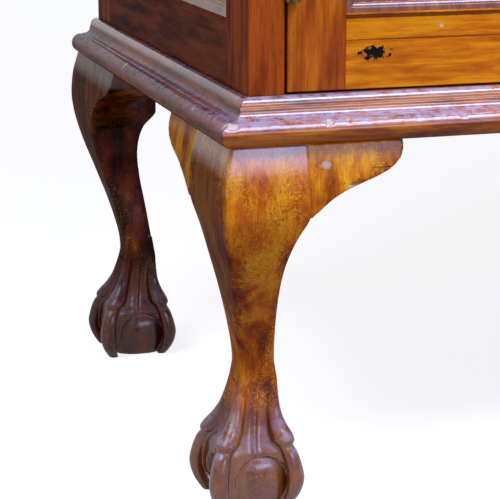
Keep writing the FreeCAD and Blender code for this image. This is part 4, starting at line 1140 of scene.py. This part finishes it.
@dataclass
class Screws:
    """Slotted screw heads, set into the hinges by one node tree."""

    radius: float = 1.9
    rise: float = 0.12
    slot: float = 0.5
    sunk: float = 0.3
    leaf: float = 0.9
    hinge_length: float = 64.0
    shares: Place = (0.14, 0.5, 0.86)
    set_backs: Place = (10.0, 6.0, 10.0)
    wall: float = 480.5
    door: float = 478.3

    def head(self) -> Piece:
        """One head: a low dome with a slot across it, facing up."""
        rings = []
        for size, height in ((1.0, -self.sunk), (1.0, 0.4 * self.rise), (0.6, self.rise)):
            outline = arc(0, 0, self.radius * size, 0, 360, 16)[:-1]
            rings.append([Vector((*place, height)) * MM for place in outline])
        head = lofted("screw_head", rings)
        form = bmesh.new()
        size = Matrix.Diagonal((2.4 * self.radius * MM, self.slot * MM, self.sunk * MM, 1))
        lift = Matrix.Translation((0, 0, (self.rise + 0.02) * MM))
        bmesh.ops.create_cube(form, size=1, matrix=lift @ size)
        return cut(head, finish_mesh(form, "screw_slot"))

    def tree(self, head: Piece) -> Tree:
        """Node tree that sets a head on each point, facing its way and turned at random."""
        tree, given = new_group("screws", "Points", ("Size",), "Screws")
        shape = add(tree, "GeometryNodeObjectInfo", {"Object": head}).outputs["Geometry"]
        facing = add(tree, "GeometryNodeInputNamedAttribute", {"Name": "facing"}, data_type="FLOAT_VECTOR")
        turn = add(tree, "FunctionNodeAlignRotationToVector", {"Vector": facing.outputs[0]}, axis="Z")
        spin = add(tree, "FunctionNodeRandomValue", {"Max": math.tau, "Seed": 7}, data_type="FLOAT")
        spin = output(tree, "ShaderNodeCombineXYZ", {2: spin.outputs[1]})
        links = {"Rotation": turn.outputs[0], "Rotate By": spin}
        turn = output(tree, "FunctionNodeRotateRotation", links, rotation_space="LOCAL")
        links = {"Points": given["Points"], "Instance": shape, "Rotation": turn, "Scale": given["Size"]}
        heads = output(tree, "GeometryNodeInstanceOnPoints", links)
        heads = output(tree, "GeometryNodeRealizeInstances", {"Geometry": heads})
        add(tree, "NodeGroupOutput", {"Screws": heads})
        return tree

    def places(self) -> dict[str, list[tuple[Vector, Vector]]]:
        """Place and facing of every screw, for each body."""
        places = {"cabinet": [], "left_door": [], "right_door": []}
        low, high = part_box("hinge_leaves_carcase")
        length = self.hinge_length * MM
        for bottom in (low.z, high.z - length):
            for share, set_back in zip(self.shares, self.set_backs):
                y, z = (FRONT + set_back) * MM, bottom + length * share
                for side, body in ((-1, "left_door"), (1, "right_door")):
                    inward = Vector((-side, 0, 0))
                    wall = Vector((side * self.wall * MM, y, z)) + inward * self.leaf * MM
                    door = Vector((side * self.door * MM, y, z)) - inward * self.leaf * MM
                    places["cabinet"].append((wall, inward))
                    places[body].append((door, -inward))
        return places

    def build(self, finish: Material) -> None:
        """Sets the screws of each body as one plain mesh."""
        head = self.head()
        tree = self.tree(head)
        for body, spots in self.places().items():
            mesh = bpy.data.meshes.new("screw_points")
            mesh.from_pydata([place for place, _ in spots], [], [])
            facing = mesh.attributes.new("facing", "FLOAT_VECTOR", "POINT")
            facing.data.foreach_set("vector", [part for _, way in spots for part in way])
            piece = grown(new_object(f"screws_{body}", mesh), tree, {"Size": 1.0})
            dress(piece, finish)
            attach(piece, body)
            log.info("%s: %d screws", piece.name, len(spots))
        bpy.data.objects.remove(head)


# Studio


@dataclass(frozen=True)
class Lamp:
    """Soft light: its place, aim, width and height in metres, its power in watts and its colour."""

    name: str
    place: Place
    aim: Place
    size: Pair
    power: float
    colour: str


@dataclass
class Studio:
    """White floor and surroundings, soft light, and the camera where the photograph was taken."""

    lens: float = 119.035
    camera_place: Place = (-0.8125, -1.2434, 0.4706)
    camera_aim: Place = (0.2817, 0.9266, -0.2490)
    fill: float = 0.2
    fill_colour: str = "#EEF0F6"
    floor_size: float = 30.0
    floor_shades: Pair = (0.34, 0.76)
    floor_glow: float = 0.79
    lamps: tuple[Lamp, ...] = (
        Lamp("window", (0.45, -3.0, 1.2), (-0.4, -0.25, 0.3), (1.5, 0.55), 24, "#C6D2FF"),
        Lamp("overhead", (0.3, -1.25, 2.3), (-0.4, -0.25, 0.3), (1.35, 0.9), 68, "#C8D3FF"),
        Lamp("left", (-1.75, -0.95, 2.0), (-0.5, -0.2, 0.1), (1.1, 0.8), 22, "#CCD6FF"),
    )

    def put(self, name: str, data: bpy.types.Camera | bpy.types.Light, place: Place, way: Vector) -> Piece:
        """Puts a camera or lamp at a place, looking a way."""
        piece = bpy.data.objects.new(name, data)
        bpy.context.scene.collection.objects.link(piece)
        piece.location = place
        piece.rotation_euler = way.to_track_quat("-Z", "Y").to_euler()
        return piece

    def camera(self) -> None:
        """Sets up the camera."""
        data = bpy.data.cameras.new("camera")
        data.lens, data.sensor_width, data.sensor_fit = self.lens, 36.0, "HORIZONTAL"
        aim = Vector(self.camera_aim).normalized()
        bpy.context.scene.camera = self.put("camera", data, self.camera_place, aim)

    def seen(self, tree: Tree) -> Socket:
        """Share that is 1 for rays from the camera and for those that metal, polish or glass send on."""
        path = add(tree, "ShaderNodeLightPath").outputs
        both = calc(tree, "MAXIMUM", path["Is Camera Ray"], path["Is Glossy Ray"])
        return calc(tree, "MAXIMUM", both, path["Is Transmission Ray"])

    def floor(self) -> None:
        """Lays the floor, which shows white where nothing shades it."""
        form = bmesh.new()
        bmesh.ops.create_grid(form, x_segments=1, y_segments=1, size=self.floor_size)
        floor = finish_mesh(form, "floor")
        material, tree, _ = new_material("studio_floor")
        seen = self.seen(tree)
        shades = spread(tree, seen, *self.floor_shades)
        diffuse = output(tree, "ShaderNodeBsdfDiffuse", {"Color": shades})
        glow = calc(tree, "MULTIPLY", seen, self.floor_glow)
        glow = output(tree, "ShaderNodeEmission", {"Strength": glow})
        dress(floor, covered(material, tree, output(tree, "ShaderNodeAddShader", {0: diffuse, 1: glow})))

    def sky(self) -> None:
        """Lights the scene evenly, while the camera, metal and glass see white."""
        world = bpy.data.worlds.new("studio")
        bpy.context.scene.world = world
        world.use_nodes = True
        tree = world.node_tree
        tree.nodes.clear()
        links = {"Color": linear(self.fill_colour), "Strength": self.fill}
        soft = output(tree, "ShaderNodeBackground", links)
        white = output(tree, "ShaderNodeBackground", {"Color": (1.0,) * 4, "Strength": 1.0})
        both = output(tree, "ShaderNodeMixShader", {0: self.seen(tree), 1: soft, 2: white})
        add(tree, "ShaderNodeOutputWorld", {"Surface": both})

    def hang(self, lamp: Lamp) -> None:
        """Hangs one lamp."""
        data = bpy.data.lights.new(lamp.name, "AREA")
        data.shape, data.size, data.size_y = "RECTANGLE", *lamp.size
        data.energy, data.color = lamp.power, linear(lamp.colour)[:3]
        self.put(lamp.name, data, lamp.place, Vector(lamp.aim) - Vector(lamp.place))

    def build(self) -> None:
        """Sets up everything round the cabinet."""
        self.camera()
        self.floor()
        self.sky()
        for lamp in self.lamps:
            self.hang(lamp)
        bpy.context.scene.view_settings.view_transform = "Standard"


# The cabinet's own finishes

X, Y, Z = Grain.ALONG_X, Grain.ALONG_Y, Grain.UPRIGHT
FACE = 30.0
ALL_ROUND = 4000.0

# Burn, a dark line along the foot of the glazing bead, a crack and a pale spot on the bottom rail of the
# left door
RAIL_MARKS = (
    Mark((-418.0, FRONT, 325.0), (9.5, FACE, 4.6), "#0A0504", 0.7),
    Mark((-390.0, FRONT, 349.3), (150.0, FACE, 1.5), "#4A160C", 0.14, 0.85),
    Mark((-380.0, FRONT, 334.0), (70.0, FACE, 0.55), "#6E2208", 0.2, 0.8),
    Mark((-371.0, FRONT, 341.5), (1.4, FACE, 1.4), "#D6B8A0", 0.2, 0.8),
)

# Painted shade on the left face, a painted highlight (a pale blue reflection) along the top, two blisters, a
# crack and a stain on the front left leg and ear
LEG_MARKS = (
    # Painted shade: darkens the left face of the leg and its side ear, which turn away from the light
    Mark((-535.0, -200.0, 185.0), (34.0, 50.0, 100.0), "#481004", 0.3, 0.6),
    # Painted highlight: a pale blue reflection of the light along the top of the leg and ears
    Mark((-494.0, -250.0, 269.0), (26.0, FACE, 8.0), "#8F8CB0", 0.35, 0.4),
    Mark((-457.5, -250.0, 256.0), (3.2, FACE, 2.6), "#D8BCB0", 0.3, 0.55),
    Mark((-441.0, -250.0, 242.0), (1.8, FACE, 1.8), "#D8BCB0", 0.3, 0.6),
    Mark((-411.0, -250.0, 252.5), (17.0, FACE, 0.35), "#4A1C08", 0.12),
    Mark((-431.0, -250.0, 243.5), (13.0, FACE, 2.2), "#3A140C", 0.9, 0.6),
)

# Darker colour over the feet, fading out between about 60 and 80 mm above the floor
FOOT = Mark((0.0, 0.0, 8.0), (ALL_ROUND, ALL_ROUND, 66.0), "#4A1206", 0.0, 0.7)
REAR_FOOT = Mark((0.0, 0.0, 8.0), (ALL_ROUND, ALL_ROUND, 66.0), "#5A1C0C", 0.0, 0.45)

RUN = {"wear": Wear.CARVED, "worn": 1.0, "pale": "#D8C4AE", "index": 1.8}
# The painted sheen of each set is a pale blue reflection of the light from above, painted into the colour of
# faces that look up
FRONT_RUN = {**RUN, "shines": (Shine(294.0, 19.0, 0.75),), "painted_sheen": 0.75}
SIDE_RUN = {**RUN, "shines": (Shine(300.0, 9.0, 0.8), Shine(287.0, 14.0, 0.32)), "painted_sheen": 0.4}
CARVED = {"drawn": 2.2, "polish": 0.06, "index": 1.65, "softness": 0.2, "wear": Wear.CARVED}
LEG = {
    **CARVED,
    "speckle": 0.75,
    "worn": 0.9,
    "shines": (Shine(272.0, 27.0, 0.8), Shine(16.0, 92.0, 0.75)),
    "marks": (*LEG_MARKS, FOOT),
    "painted_sheen": 0.75,
}
EAR = {**CARVED, "speckle": 0.85, "shines": (Shine(272.0, 20.0, 0.25),), "marks": LEG_MARKS}
REAR = {
    **CARVED,
    "speckle": 0.2,
    "worn": 0.6,
    "shines": (Shine(272.0, 27.0, 0.4), Shine(16.0, 92.0, 0.45)),
    "marks": (REAR_FOOT,),
    "painted_sheen": 0.4,
}
WAXED = {"roughness": 0.5, "polish": 0.1}

FINISHES = (
    PolishedMahogany("polished_door_rail", X, "#B05006", "#DC760A", "#F0940E", 0.62, 12, marks=RAIL_MARKS),
    PolishedMahogany("polished_rail", X, "#8A4008", "#BC620C", "#D4800E", 0.6, 14),
    PolishedMahogany("polished_door_stile", Z, "#7A2C0C", "#B85410", "#D27012", 0.56, 16),
    PolishedMahogany("polished_corner_stile", Z, "#6A260E", "#AE4C16", "#BE5816", 0.56, 16, polish=0.05),
    # Darker copy of the rail colours: painted shade on the side pieces of the cabinet, which turn away from
    # the light
    PolishedMahogany("side_rail_painted_shade", Y, "#42180E", "#783216", "#904018", 0.5, 16, polish=0.05),
    PolishedMahogany("polished_bead", Z, "#5C240E", "#8C3C12", "#A85814", 0.55, 12, polish=0.7, index=1.8),
    PolishedMahogany("polished_upright", Z, "#5C240E", "#964214", "#B06014", 0.55, 20, polish=0.06),
    PolishedMahogany("polished_moulding", X, "#5A200C", "#AE5610", "#CC7216", 0.52, 12, **FRONT_RUN),
    # Darker copy of the moulding colours: painted shade for the sides of the cabinet, which turn away from
    # the light
    PolishedMahogany("side_moulding_painted_shade", Y, "#42140C", "#8E3612", "#AC5016", 0.5, 12, **SIDE_RUN),
    PolishedMahogany("polished_leg", Z, "#6A200C", "#CC5C10", "#E88C18", 0.52, 26, **LEG),
    PolishedMahogany("polished_ear", Z, "#8A3A0A", "#DC7810", "#FAAA1C", 0.56, 22, **EAR),
    # Darker copy of the leg colours: painted shade for the shadow of the cabinet over the back legs
    PolishedMahogany("rear_leg_painted_shade", Z, "#280B08", "#7C2C10", "#AA5614", 0.4, 26, **REAR),
    PolishedMahogany("waxed_boards", Z, "#7A4A26", "#A06A3C", "#B67C46", 0.55, 30, **WAXED),
    PolishedMahogany("waxed_level_boards", X, "#7A4A26", "#A06A3C", "#B67C46", 0.55, 30, **WAXED),
    OldMetal("aged_brass", "#7A5C30", "#2E2212", 0.4),
    OldMetal("dull_steel", "#9A9894", "#55524E", 0.42),
    OldMetal("key_iron", "#A5A29A", "#5E5A52", 0.34),
    WindowGlass(),
)

# Pattern of a solid's name and the finish that it wears; the first that matches holds
AS_IT_IS = (
    ("glass$", "drawn_glass"),
    ("^(hinge|flush|escutcheon)", "aged_brass"),
    ("^lock", "dull_steel"),
    ("^key$", "key_iron"),
    ("beads$", "polished_bead"),
)
EASED = (
    ("^door_.*rail", "polished_door_rail"),
    ("^door_.*stile", "polished_door_stile"),
    ("front_stile$", "polished_corner_stile"),
    ("^(side_.*rail|cornice_(left|right))", "side_rail_painted_shade"),
    ("^side_", "polished_upright"),
    ("^back_boards", "waxed_boards"),
    ("^(base_rail|bottom|shelf)", "waxed_level_boards"),
    ("", "polished_rail"),
)
MADE_ANEW = "^(leg|ears|base_moulding)_|lattice$"


def finish_of(node: str, table: tuple[tuple[str, str], ...]) -> str | None:
    """Name of the finish that a table gives a solid, if any."""
    return next((finish for pattern, finish in table if re.search(pattern, node)), None)


def build_cabinet(bodies: dict[str, list[str]], solids: dict[str, Piece]) -> None:
    """Builds the carved, run and moulded pieces, then eases and dresses the rest.

    Args:
        bodies: Names of the solids on each body.
        solids: Objects of the frame by name.
    """
    made = {finish.name: finish.material() for finish in FINISHES}
    CarvedLeg().build(made)
    BaseMoulding().build(made["polished_moulding"], made["side_moulding_painted_shade"])
    GlazingBars().build(made["polished_upright"])
    Screws().build(made["aged_brass"])
    joinery = Joinery()
    for body, nodes in bodies.items():
        for node in nodes:
            if re.search(MADE_ANEW, node):
                continue
            plain = finish_of(node, AS_IT_IS)
            if plain:
                for slot in solids[node].material_slots:
                    slot.material = made[plain]
                log.info("%s dressed", node)
            else:
                finish = finish_of(node, EASED)
                slot = "carcase_wood" if finish.startswith("waxed") else "mahogany"
                stand_in(joinery.ease(node), node, body, made[finish])


def main() -> None:
    """Builds the scene."""
    logging.basicConfig(level=logging.INFO, format="%(message)s")
    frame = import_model()
    build_cabinet(frame["record"]["behaviour"]["bodies"], frame["nodes"])
    Studio().build()


if __name__ == "__main__":
    main()
